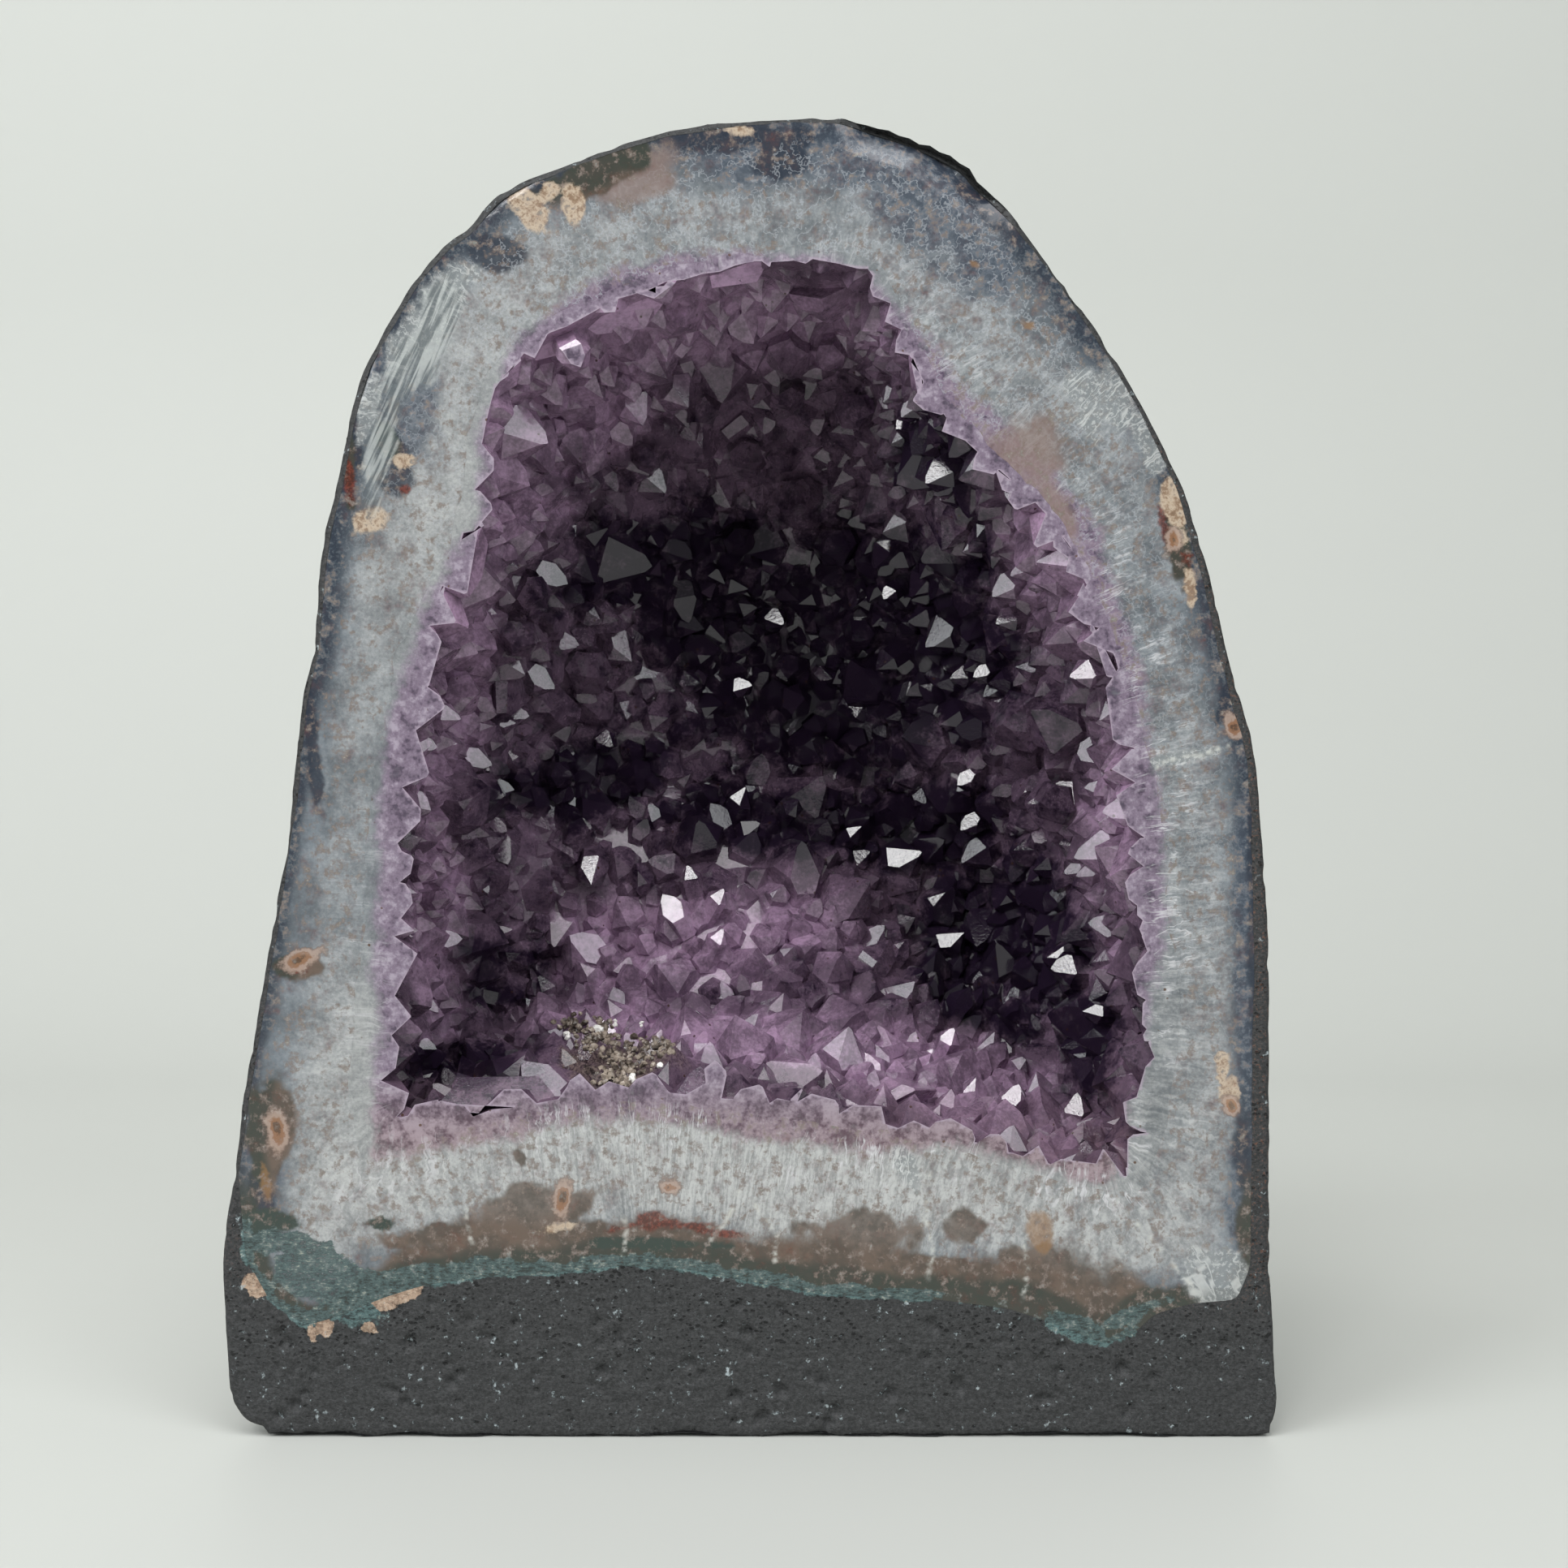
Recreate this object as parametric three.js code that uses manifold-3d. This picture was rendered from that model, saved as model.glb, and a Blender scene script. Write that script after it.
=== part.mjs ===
// An amethyst cathedral geode, standing on a sawn base with its polished face forward.
// Three minerals make it: the dark basalt that the gas bubble formed in, the band of agate
// and milky quartz that lined the bubble, and one crust of amethyst points grown on that band.
// Millimetres. X runs right, Y runs back from the polished face and Z runs up.
import * as THREE from "three";
import { mergeVertices } from "three/addons/utils/BufferGeometryUtils.js";
import Module from "manifold-3d";

const wasm = await Module();
wasm.setup();

// Driving sizes. Heights are above the sawn base, and depths are behind the polished face.
const ROCK_DEPTH = 125;
const AGATE_DEPTH = 102;
const CRUST_DEPTH = 90;
const SEAM_GAP = 0.3; // the clearance left between two minerals
const SKIN = 4.5; // quartz that the amethyst points stand on
const IN_FRONT = -20; // a bowl that cuts a hollow starts this far before the polished face
const BELOW_BASE = 60; // the boulder as it was before its base was sawn off
const ROCK_SEED = 20417;
const POINT_SEED = 8;

// How finely the curved walls are faceted.
const ROCK_FACETS = 9; // how often each edge of the first icosahedron is split
const BUBBLE_POINTS_ROUND = 54;
const BED_POINTS_ROUND = 42;
const OUTLINE_STEPS = 720; // places on an outline where one is looked up by its angle

// Outlines on the polished face, anticlockwise from the lower left: [x, z].
const ROCK_OUTLINE = [
  [-60, -BELOW_BASE],
  [60, -BELOW_BASE],
  [98, -20],
  [99.5, 2],
  [99.5, 24],
  [99, 60],
  [98.5, 100],
  [96.5, 127],
  [91, 148],
  [85.5, 171],
  [76, 193],
  [61, 217.5],
  [46, 236],
  [35, 244.5],
  [15, 250],
  [-10, 248.5],
  [-34, 242],
  [-56, 228],
  [-70, 209],
  [-77.5, 184],
  [-82.5, 155],
  [-86, 129],
  [-92.5, 86],
  [-98, 48],
  [-100, 22],
  [-99, 10],
  [-95, 2],
  [-86, -6],
];
const AGATE_OUTLINE = [
  [-93, 35],
  [-78, 27],
  [-60, 31.5],
  [-25, 34.5],
  [5, 29],
  [52, 26],
  [68, 18.5],
  [82, 24],
  [93, 27],
  [94.5, 60],
  [94, 105],
  [91, 133],
  [83.5, 165],
  [73, 191],
  [58, 216],
  [43, 234],
  [32, 242.5],
  [14, 247],
  [-10, 245.5],
  [-33, 238.5],
  [-54, 225],
  [-67, 207],
  [-74.5, 182],
  [-80, 154],
  [-83.5, 128],
  [-90, 86],
  [-95.5, 50],
];
const CRUST_OUTLINE = [
  [-74, 50],
  [-62, 55],
  [-42, 60],
  [-18, 62],
  [5, 60],
  [40, 53],
  [60, 47],
  [74, 44],
  [80, 56],
  [83, 84],
  [80, 105],
  [76, 134],
  [68, 160],
  [56, 180],
  [40, 194],
  [32, 210],
  [25, 224],
  [-3, 225],
  [-30, 216],
  [-48, 206],
  [-54, 188],
  [-57, 170],
  [-67, 150],
  [-72, 119],
  [-75.5, 85],
];

// The middle that each mineral is shaped round: [x, z].
const ROCK_CENTRE = [0, 95];
const LINING_CENTRE = [2, 128];

// Shares of the outline at which a lining's rings lie.
const LINING_SHARES = [1, 0.975, 0.91, 0.79, 0.6, 0.36];

// The boulder's weathered outside: waves of a height, and of a length along X, Y and Z.
const ROCK_SQUARENESS = 2.7; // 2 rounds the boulder like an ellipsoid, more makes it boxier
const WEATHERING = [
  { height: 2.2, lengths: [150, 130, 160], start: 0.6 },
  { height: 3.4, lengths: [57, 60, 65], start: 1.1 },
  { height: 2, lengths: [35, 43, 38], start: 2.4 },
];
const GRAIN = [-0.9, 0.9]; // random roughness on top of the waves
const WORN_BACK = 1.8; // how far the waves' middle lies inside the even shape
const SMOOTH_RIM = 25; // the waves reach their full height this far behind the polished face
const SHALLOWEST_PIT = 1.5; // near the rim, where the rock over the band is thin
const PIT_SLOPE = 1 / 12; // how much deeper a pit may be, with the depth behind the face

// A gas bubble's wall, as depth against share of the outline: steep at the rim, flat at the back.
const WALL_POWER = 3.2;
const WALL_ROUND = 0.588;

// Where the crust's bed swells forward (negative) or sinks back: centre, spread and depth.
const SWELLS = [
  { x: -14, z: 96, wide: 30, high: 20, depth: -25 },
  { x: 26, z: 72, wide: 24, high: 18, depth: -14 },
  { x: -38, z: 188, wide: 22, high: 24, depth: -24 },
  { x: -15, z: 138, wide: 15, high: 12, depth: -8 },
  { x: 46, z: 136, wide: 14, high: 14, depth: -10 },
  { x: -18, z: 170, wide: 26, high: 12, depth: 7 },
  { x: 22, z: 128, wide: 16, high: 20, depth: 7 },
  { x: 55, z: 90, wide: 13, high: 18, depth: 12 },
];
const SWELL_EDGE = 0.5; // how quickly a swell fades towards the rim

// Amethyst points in rows, from the rim to the back of the hollow. Most end in the three wide
// faces of a rhombohedron, and every few is a full hexagonal pyramid.
const POINT_SPACING = 16;
const POINT_KINDS = [
  { sides: 3, radius: [16, 20], steepness: [0.8, 1] },
  { sides: 3, radius: [16, 20], steepness: [0.8, 1] },
  { sides: 6, radius: [10, 13], steepness: [1.25, 1.5] },
  { sides: 3, radius: [17, 21], steepness: [0.75, 0.9] },
];
const POINT_LEAN = 0.3; // radians
const POINT_ROOT = 8; // how far a point's foot is sunk below the skin's inner face
const POINT_DRIFT = 0.28; // how far a point may stand off its even place, in spacings
const LARGE_POINTS = [
  { x: 10, z: 106, radius: 9.5, height: 24 },
  { x: 22, z: 101, radius: 9, height: 21 },
  { x: 59, z: 137, radius: 9, height: 20 },
  { x: 60, z: 119, radius: 10, height: 23 },
  { x: 69, z: 108, radius: 9, height: 18 },
  { x: 10, z: 185, radius: 9.5, height: 19 },
  { x: -54, z: 121, radius: 9, height: 19 },
  { x: -36, z: 90, radius: 9, height: 17 },
];

const BASALT = new THREE.MeshStandardMaterial({ color: 0x47484b, roughness: 0.85, metalness: 0 });
const AGATE = new THREE.MeshStandardMaterial({ color: 0xb4bcc4, roughness: 0.25, metalness: 0 });
const AMETHYST = new THREE.MeshStandardMaterial({
  color: 0x6a4a78,
  roughness: 0.1,
  metalness: 0,
  flatShading: true,
});

// A repeatable source of numbers between two limits.
function numbersFrom(seed) {
  let state = seed;
  return ([low, high]) => {
    state = (state * 1664525 + 1013904223) % 4294967296;
    return low + ((high - low) * state) / 4294967296;
  };
}

const roughness = numbersFrom(ROCK_SEED);
const growth = numbersFrom(POINT_SEED);

// The outline's smooth curve as evenly spaced [x, z] places.
function placesRound(outline, count) {
  const corners = outline.map(([x, z]) => new THREE.Vector3(x, 0, z));
  const curve = new THREE.CatmullRomCurve3(corners, true, "centripetal");
  return curve.getSpacedPoints(count).slice(0, count).map((p) => [p.x, p.z]);
}

// The outline's places, each moved in towards the middle by an inset.
function insetBy(places, [middleX, middleZ], inset) {
  return places.map(([x, z]) => {
    const across = x - middleX;
    const up = z - middleZ;
    const keep = 1 - inset / Math.hypot(across, up);
    return [middleX + across * keep, middleZ + up * keep];
  });
}

// A closed solid through rings of points, from a flat front to one point at the back.
function solidThrough(rings, frontMiddle, backPoint) {
  const around = rings[0].length;
  const places = [...rings.flat(), frontMiddle, backPoint];
  const front = places.length - 2;
  const back = places.length - 1;
  const last = (rings.length - 1) * around;
  const corners = [];
  for (let i = 0; i < around; i++) {
    const next = (i + 1) % around;
    corners.push(front, i, next);
    corners.push(back, last + next, last + i);
    for (let ring = 0; ring + 1 < rings.length; ring++) {
      const near = ring * around;
      const far = near + around;
      corners.push(near + i, far + i, far + next);
      corners.push(near + i, far + next, near + next);
    }
  }
  const geometry = new THREE.BufferGeometry();
  geometry.setAttribute("position", new THREE.Float32BufferAttribute(places.flat(), 3));
  geometry.setIndex(corners);
  return geometry;
}

// The same surface with each corner held once, as a closed solid needs.
function shared(geometry) {
  const bare = geometry.clone();
  bare.deleteAttribute("normal");
  bare.deleteAttribute("uv");
  return mergeVertices(bare, 1e-4);
}

function solidOf(geometry) {
  const mesh = new wasm.Mesh({
    numProp: 3,
    vertProperties: new Float32Array(geometry.attributes.position.array),
    triVerts: new Uint32Array(geometry.index.array),
  });
  return new wasm.Manifold(mesh);
}

function geometryOf(solid) {
  const { vertProperties, triVerts } = solid.getMesh();
  const geometry = new THREE.BufferGeometry();
  geometry.setAttribute("position", new THREE.BufferAttribute(vertProperties, 3));
  geometry.setIndex(new THREE.BufferAttribute(triVerts, 1));
  geometry.computeVertexNormals();
  return geometry;
}

function block(low, high) {
  const size = high.map((value, axis) => value - low[axis]);
  const geometry = shared(new THREE.BoxGeometry(...size));
  geometry.translate(...low.map((value, axis) => value + size[axis] / 2));
  return solidOf(geometry);
}

// How far the boulder's weathered outside stands out of its even shape.
function weathering(spot) {
  const waves = WEATHERING.reduce((sum, { height, lengths, start }) => {
    const phases = spot.toArray().map((value, axis) => {
      return (2 * Math.PI * value) / lengths[axis] + start * (axis + 1);
    });
    return sum + height * phases.reduce((product, phase) => product * Math.sin(phase), 1);
  }, 0);
  const behindFace = Math.min(Math.max(spot.y / SMOOTH_RIM, 0), 1);
  const deepestPit = -SHALLOWEST_PIT - Math.abs(spot.y) * PIT_SLOPE;
  return behindFace * Math.max(waves + roughness(GRAIN) - WORN_BACK, deepestPit);
}

// The way from a middle to the place on an outline that lies at an angle.
function reachAt(places, [middleX, middleZ], angle) {
  const offsets = places.map(([x, z]) => [x - middleX, z - middleZ]);
  const gap = ([x, z]) => {
    const turned = Math.atan2(z, x) - angle;
    return Math.abs(Math.atan2(Math.sin(turned), Math.cos(turned)));
  };
  return offsets.reduce((best, offset) => (gap(offset) < gap(best) ? offset : best));
}

// The boulder: a lumpy ball with the face's outline, cut by the polished face and the sawn base.
function boulder() {
  const places = placesRound(ROCK_OUTLINE, OUTLINE_STEPS);
  const geometry = shared(new THREE.IcosahedronGeometry(1, ROCK_FACETS));
  const corners = geometry.attributes.position;
  const way = new THREE.Vector3();
  for (let i = 0; i < corners.count; i++) {
    way.fromBufferAttribute(corners, i).normalize();
    const aside = Math.hypot(way.x, way.z);
    const boxy = (aside ** ROCK_SQUARENESS + Math.abs(way.y) ** ROCK_SQUARENESS) ** (-1 / ROCK_SQUARENESS);
    const [edgeX, edgeZ] = reachAt(places, ROCK_CENTRE, Math.atan2(way.z, way.x));
    const share = aside * boxy;
    const spot = new THREE.Vector3(edgeX * share, ROCK_DEPTH * way.y * boxy, edgeZ * share);
    spot.multiplyScalar(1 + weathering(spot) / spot.length());
    corners.setXYZ(i, ROCK_CENTRE[0] + spot.x, spot.y, ROCK_CENTRE[1] + spot.z);
  }
  const reach = 3 * ROCK_DEPTH;
  return solidOf(geometry)
    .subtract(block([-reach, -reach, -reach], [reach, 0, reach]))
    .subtract(block([-reach, -reach, -reach], [reach, reach, 0]));
}

// Depth behind the face of a lining's wall, at a place and its share of the outline.
function wallDepth(fullDepth, share, x, z, swells) {
  const plain = fullDepth * Math.max(1 - share ** WALL_POWER, 0) ** WALL_ROUND;
  const inward = Math.min(Math.max((1 - share) / SWELL_EDGE, 0), 1);
  const pushed = swells.reduce((sum, s) => {
    const off = ((x - s.x) / s.wide) ** 2 + ((z - s.z) / s.high) ** 2;
    return sum + s.depth * Math.exp(-off / 2);
  }, 0);
  return Math.max(plain + pushed * Math.sqrt(inward), 0);
}

// The bowl that a mineral's outer wall bounds, solid to a flat front at the given depth.
function bowl({ outline, pointsRound, fullDepth, swells }, inset, front) {
  const [middleX, middleZ] = LINING_CENTRE;
  const places = insetBy(placesRound(outline, pointsRound), LINING_CENTRE, inset);
  const wall = LINING_SHARES.map((share) =>
    places.map(([x, z]) => {
      const px = middleX + (x - middleX) * share;
      const pz = middleZ + (z - middleZ) * share;
      return [px, wallDepth(fullDepth - inset, share, px, pz, swells), pz];
    }),
  );
  const rings = front < 0 ? [places.map(([x, z]) => [x, front, z]), ...wall] : wall;
  const deepest = wallDepth(fullDepth - inset, 0, middleX, middleZ, swells);
  return solidOf(
    solidThrough(rings, [middleX, Math.min(front, 0), middleZ], [middleX, deepest, middleZ]),
  );
}

const BUBBLE = {
  outline: AGATE_OUTLINE,
  pointsRound: BUBBLE_POINTS_ROUND,
  fullDepth: AGATE_DEPTH,
  swells: [],
};
const BED = {
  outline: CRUST_OUTLINE,
  pointsRound: BED_POINTS_ROUND,
  fullDepth: CRUST_DEPTH,
  swells: SWELLS,
};

// A place on the crust's bed, by the share of a turn round the hollow and of the way to the rim.
const bedPlaces = placesRound(CRUST_OUTLINE, OUTLINE_STEPS);
function onBed(turn, share) {
  const [middleX, middleZ] = LINING_CENTRE;
  const wrapped = ((turn % 1) + 1) % 1;
  const [x, z] = bedPlaces[Math.floor(wrapped * bedPlaces.length)];
  const px = middleX + (x - middleX) * share;
  const pz = middleZ + (z - middleZ) * share;
  return new THREE.Vector3(px, wallDepth(CRUST_DEPTH, share, px, pz, SWELLS), pz);
}

// The way out of the bed into the hollow, at a place on it.
function outOfBed(turn, share) {
  const step = 0.012;
  const inner = Math.min(share, 1 - step);
  const along = onBed(turn + step, inner).sub(onBed(turn - step, inner));
  const inward = onBed(turn, inner - step).sub(onBed(turn, inner + step));
  return along.cross(inward).normalize();
}

// The hollow's middling half-width at the rim.
const halfWidth = bedPlaces.reduce((sum, [x, z]) => {
  return sum + Math.hypot(x - LINING_CENTRE[0], z - LINING_CENTRE[1]) / bedPlaces.length;
}, 0);

// The shares of the outline at which rows of points stand, an even way apart along the wall.
function rowShares() {
  const step = 0.002;
  const depthAt = (share) => wallDepth(CRUST_DEPTH, share, 0, 0, []);
  const shares = [1];
  let walked = 0;
  for (let share = 1; share > step; share -= step) {
    walked += Math.hypot(depthAt(share - step) - depthAt(share), halfWidth * step);
    if (walked > POINT_SPACING) {
      shares.push(share);
      walked = 0;
    }
  }
  return shares;
}

// One amethyst point: a pyramid that leans a little off the wall's own way out.
function amethystPoint(foot, way, sides, radius, height) {
  const cone = shared(new THREE.ConeGeometry(radius, height, sides));
  cone.translate(0, height / 2, 0);
  cone.rotateY(growth([0, Math.PI]));
  const lean = new THREE.Euler(
    growth([-POINT_LEAN, POINT_LEAN]),
    0,
    growth([-POINT_LEAN, POINT_LEAN]),
  );
  cone.applyQuaternion(new THREE.Quaternion().setFromEuler(lean));
  cone.applyQuaternion(
    new THREE.Quaternion().setFromUnitVectors(new THREE.Vector3(0, 1, 0), way),
  );
  const sunk = foot.clone().addScaledVector(way, SKIN - POINT_ROOT);
  cone.translate(sunk.x, sunk.y, sunk.z);
  return solidOf(cone);
}

// The turn and share of the bed at a given x and z.
function bedAt(x, z) {
  const [middleX, middleZ] = LINING_CENTRE;
  const edge = reachAt(bedPlaces, LINING_CENTRE, Math.atan2(z - middleZ, x - middleX));
  const turn = bedPlaces.findIndex(([px, pz]) => px - middleX === edge[0] && pz - middleZ === edge[1]);
  const share = Math.hypot(x - middleX, z - middleZ) / Math.hypot(...edge);
  return { turn: turn / bedPlaces.length, share: Math.min(share, 0.97) };
}

// The crust: a skin of quartz with every point fused to it, cut flush with the polished face.
function amethystCrust() {
  const points = [];
  for (const share of rowShares()) {
    const count = Math.max(Math.round((2 * Math.PI * share * halfWidth) / POINT_SPACING), 1);
    for (let i = 0; i < count; i++) {
      const turn = (i + 0.5 + growth([-POINT_DRIFT, POINT_DRIFT])) / count;
      const drift = (growth([-POINT_DRIFT, POINT_DRIFT]) * POINT_SPACING) / halfWidth;
      const here = Math.min(share + drift * (1 - share ** 4), 1);
      const kind = POINT_KINDS[i % POINT_KINDS.length];
      const radius = growth(kind.radius);
      const height = radius * growth(kind.steepness);
      points.push(amethystPoint(onBed(turn, here), outOfBed(turn, here), kind.sides, radius, height));
    }
  }
  for (const { x, z, radius, height } of LARGE_POINTS) {
    const { turn, share } = bedAt(x, z);
    points.push(amethystPoint(onBed(turn, share), outOfBed(turn, share), 6, radius, height));
  }
  const fused = points.reduce((all, point) => all.add(point));
  const skin = bowl(BED, SEAM_GAP, 0).subtract(bowl(BED, SKIN, IN_FRONT));
  return skin.add(fused.intersect(bowl(BED, SKIN / 2, 0)));
}

function piece(name, solid, material) {
  const mesh = new THREE.Mesh(geometryOf(solid), material);
  mesh.name = name;
  return mesh;
}

const bubble = bowl(BUBBLE, 0, IN_FRONT);
const band = bowl(BUBBLE, SEAM_GAP, 0).subtract(bowl(BED, 0, IN_FRONT));

const geode = new THREE.Group();
geode.add(piece("basalt_matrix", boulder().subtract(bubble), BASALT));
geode.add(piece("agate_quartz_band", band, AGATE));
geode.add(piece("amethyst_crust", amethystCrust(), AMETHYST));

// The origin is the middle of the overall box, on the surface that the geode stands on.
const box = new THREE.Box3().setFromObject(geode);
geode.position.set(-(box.min.x + box.max.x) / 2, -(box.min.y + box.max.y) / 2, -box.min.z);

export default geode;
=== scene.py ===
"""Dresses an amethyst cathedral geode: a weathered basalt boulder sawn flat below, a polished band of
agate and milky quartz, and a crust of amethyst points in the hollow.

Metres, Z up, with the polished face towards -Y. Sizes given in millimetres are multiplied by MM."""
import math
from itertools import combinations, product

import bmesh
import bpy
import numpy as np
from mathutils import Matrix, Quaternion, Vector
from mathutils.bvhtree import BVHTree
from mathutils.geometry import delaunay_2d_cdt
from mathutils.kdtree import KDTree


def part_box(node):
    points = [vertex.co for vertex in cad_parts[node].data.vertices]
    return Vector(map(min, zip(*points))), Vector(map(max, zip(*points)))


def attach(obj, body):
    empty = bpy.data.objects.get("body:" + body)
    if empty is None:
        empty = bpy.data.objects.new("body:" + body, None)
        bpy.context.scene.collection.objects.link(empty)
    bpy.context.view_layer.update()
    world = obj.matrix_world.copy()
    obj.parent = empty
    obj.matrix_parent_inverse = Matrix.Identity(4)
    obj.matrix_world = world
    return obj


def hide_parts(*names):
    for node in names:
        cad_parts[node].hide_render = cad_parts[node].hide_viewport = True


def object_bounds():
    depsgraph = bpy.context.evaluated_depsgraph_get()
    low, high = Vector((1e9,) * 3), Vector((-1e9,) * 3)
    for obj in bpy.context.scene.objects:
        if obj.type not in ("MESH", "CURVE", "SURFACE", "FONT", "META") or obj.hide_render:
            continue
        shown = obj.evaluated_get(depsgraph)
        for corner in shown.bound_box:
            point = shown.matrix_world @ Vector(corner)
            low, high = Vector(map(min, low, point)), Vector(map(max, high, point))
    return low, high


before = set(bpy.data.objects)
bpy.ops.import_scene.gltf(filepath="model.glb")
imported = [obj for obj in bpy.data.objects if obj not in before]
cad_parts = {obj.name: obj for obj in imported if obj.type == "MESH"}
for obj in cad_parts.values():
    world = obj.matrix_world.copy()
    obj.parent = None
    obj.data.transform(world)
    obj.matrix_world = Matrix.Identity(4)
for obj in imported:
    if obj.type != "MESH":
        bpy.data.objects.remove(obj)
CAD_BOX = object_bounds()

bl_info = {
    "name": "Amethyst Cathedral Geode",
    "version": (1, 0, 0),
    "blender": (4, 5, 0),
    "location": "3D View > Sidebar > Geode",
    "description": "Builds the basalt, the agate band and the amethyst crust of a standing geode",
    "category": "Add Mesh",
}

MM = 0.001
FACE_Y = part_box("agate_quartz_band")[0].y  # the polished face
SAME_PLACE = 1e-6  # corners nearer than this, in metres, are one
ON_FACE = 1e-5  # and what lies this near to the polished face is on it
MIDDLE = (1.6 * MM, 128 * MM)  # x and z on the face that the linings are shaped round
TURNS = 1440  # directions round the middle in which a border is measured


# Noise


GRID_PRIMES = (374761393, 668265263, 1103515245)
SEED_FACTOR = 97531
MIXER = 1274126177
WORD = 0xFFFFFFFF  # 32 bits
FRACTION = 0xFFFFF  # how finely the numbers that come out are divided


def hashed(ix, iy, iz, seed):
    """A repeatable number from -1 to 1 for each corner of a grid."""
    a, b, c = GRID_PRIMES
    h = (ix * a + iy * b + iz * c + seed * SEED_FACTOR) & WORD
    h = ((h ^ (h >> 13)) * MIXER) & WORD
    h = h ^ (h >> 16)
    return (h & FRACTION) / (FRACTION // 2) - 1.0


def lumps(points, size, seed=0):
    """Smooth noise from about -1 to 1, with swells of the given size, at an array of points."""
    p = np.asarray(points, float) / size
    if p.shape[1] == 2:
        p = np.column_stack([p[:, 0], np.zeros(len(p)), p[:, 1]])
    whole = np.floor(p).astype(np.int64)
    part = p - whole
    part = part * part * (3 - 2 * part)
    total = np.zeros(len(p))
    for corner in product((0, 1), repeat=3):
        weight = np.abs(1 - np.array(corner) - part).prod(1)
        total += weight * hashed(*(whole + corner).T, seed)
    return total


def cloud(points, size, octaves=4, seed=0, rough=0.5):
    """Noise of several sizes, each half as large as the one before; another seed gives other swells."""
    total, height, whole = 0, 1.0, 0.0
    for octave in range(octaves):
        total = total + height * lumps(points, size / 2**octave, seed + 31 * octave)
        whole += height
        height *= rough
    return total / whole


def ramp(values, low, high):
    """Smooth step from 0 at low to 1 at high."""
    t = np.clip((np.asarray(values, float) - low) / (high - low), 0, 1)
    return t * t * (3 - 2 * t)


# Meshes


def mesh_of(name, vertices, faces):
    mesh = bpy.data.meshes.new(name)
    mesh.from_pydata([tuple(v) for v in vertices], [], [tuple(f) for f in faces])
    mesh.validate()
    return mesh


def object_of(name, mesh):
    obj = bpy.data.objects.new(name, mesh)
    bpy.context.scene.collection.objects.link(obj)
    return obj


def positions(mesh):
    co = np.empty(len(mesh.vertices) * 3)
    mesh.vertices.foreach_get("co", co)
    return co.reshape(-1, 3)


def set_mask(mesh, name, values):
    attribute = mesh.attributes.get(name) or mesh.attributes.new(name, "FLOAT", "POINT")
    attribute.data.foreach_set("value", np.ascontiguousarray(values, dtype=np.float32))


def tree_of(places):
    """A search tree of places, each under its number in the list."""
    tree = KDTree(len(places))
    for i, place in enumerate(places):
        tree.insert(place, i)
    tree.balance()
    return tree


def joined_copy(node):
    """A bmesh of a CAD node with each corner held once."""
    bm = bmesh.new()
    bm.from_mesh(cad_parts[node].data)
    bmesh.ops.remove_doubles(bm, verts=bm.verts, dist=SAME_PLACE)
    bmesh.ops.triangulate(bm, faces=bm.faces)
    return bm


def on_face(vert):
    return abs(vert.co.y - FACE_Y) < ON_FACE


def cut_faces(bm):
    return [f for f in bm.faces if all(on_face(v) for v in f.verts)]


def face_loops(node):
    """A node's outlines on the polished face, as arrays of [x, z], the longest first."""
    bm = joined_copy(node)
    flat = cut_faces(bm)
    among = set(flat)
    following = {}
    for face in flat:
        for loop in face.loops:
            if any(other not in among for other in loop.edge.link_faces):
                following[loop.vert.index] = loop.link_loop_next.vert.index
    places = {v.index: (v.co.x, v.co.z) for v in bm.verts}
    loops = []
    while following:
        start = next(iter(following))
        chain = []
        here = start
        while here in following:
            chain.append(places[here])
            here = following.pop(here)
        loops.append(np.array(chain))
    bm.free()

    def length(loop):
        return np.linalg.norm(loop - np.roll(loop, 1, 0), axis=1).sum()

    return sorted(loops, key=length, reverse=True)


# Borders on the polished face, as distances from the middle in each direction


def direction(x, z):
    return np.arctan2(z - MIDDLE[1], x - MIDDLE[0])


def distance(x, z):
    return np.hypot(x - MIDDLE[0], z - MIDDLE[1])


ANGLES = np.linspace(-math.pi, math.pi, TURNS, endpoint=False)
CIRCLE = np.column_stack([np.cos(ANGLES), np.sin(ANGLES)])


SIDE_STEPS = 24  # places measured along each side of a loop
TRACED_EASE = 0.35  # how widely the corners of a traced outline are eased, in degrees
SOLID_EASE = 0.8  # and those of a solid's outline
NOISE_RADIUS = 90 * MM  # of the circle on which a border's noise is read


def reach_of(loop):
    """How far a loop lies from the middle, in each of the TURNS directions."""
    steps = np.linspace(0, 1, SIDE_STEPS, endpoint=False)[:, None]
    ends = np.roll(loop, -1, 0)
    dense = np.concatenate([a + (b - a) * steps for a, b in zip(loop, ends)])
    turn = direction(dense[:, 0], dense[:, 1])
    order = np.argsort(turn)
    return np.interp(ANGLES, turn[order], distance(dense[:, 0], dense[:, 1])[order], period=2 * math.pi)


def evened(reach, degrees):
    """A border with its corners eased over a few degrees."""
    width = degrees / 360 * TURNS
    offsets = np.arange(-int(3 * width), int(3 * width) + 1)
    weights = np.exp(-0.5 * (offsets / width) ** 2)
    weights /= weights.sum()
    return sum(w * np.roll(reach, o) for w, o in zip(weights, offsets))


def reach_at(reach, angle):
    return np.interp(angle, ANGLES, reach, period=2 * math.pi)


def round_noise(size, seed, octaves=4):
    """Noise along a border, with swells of the given size."""
    return cloud(CIRCLE * NOISE_RADIUS + 1, size, octaves, seed)


ROCK_REACH = reach_of(face_loops("basalt_matrix")[0])
BED_REACH = evened(reach_of(face_loops("agate_quartz_band")[1]), SOLID_EASE)


# Settings


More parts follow.
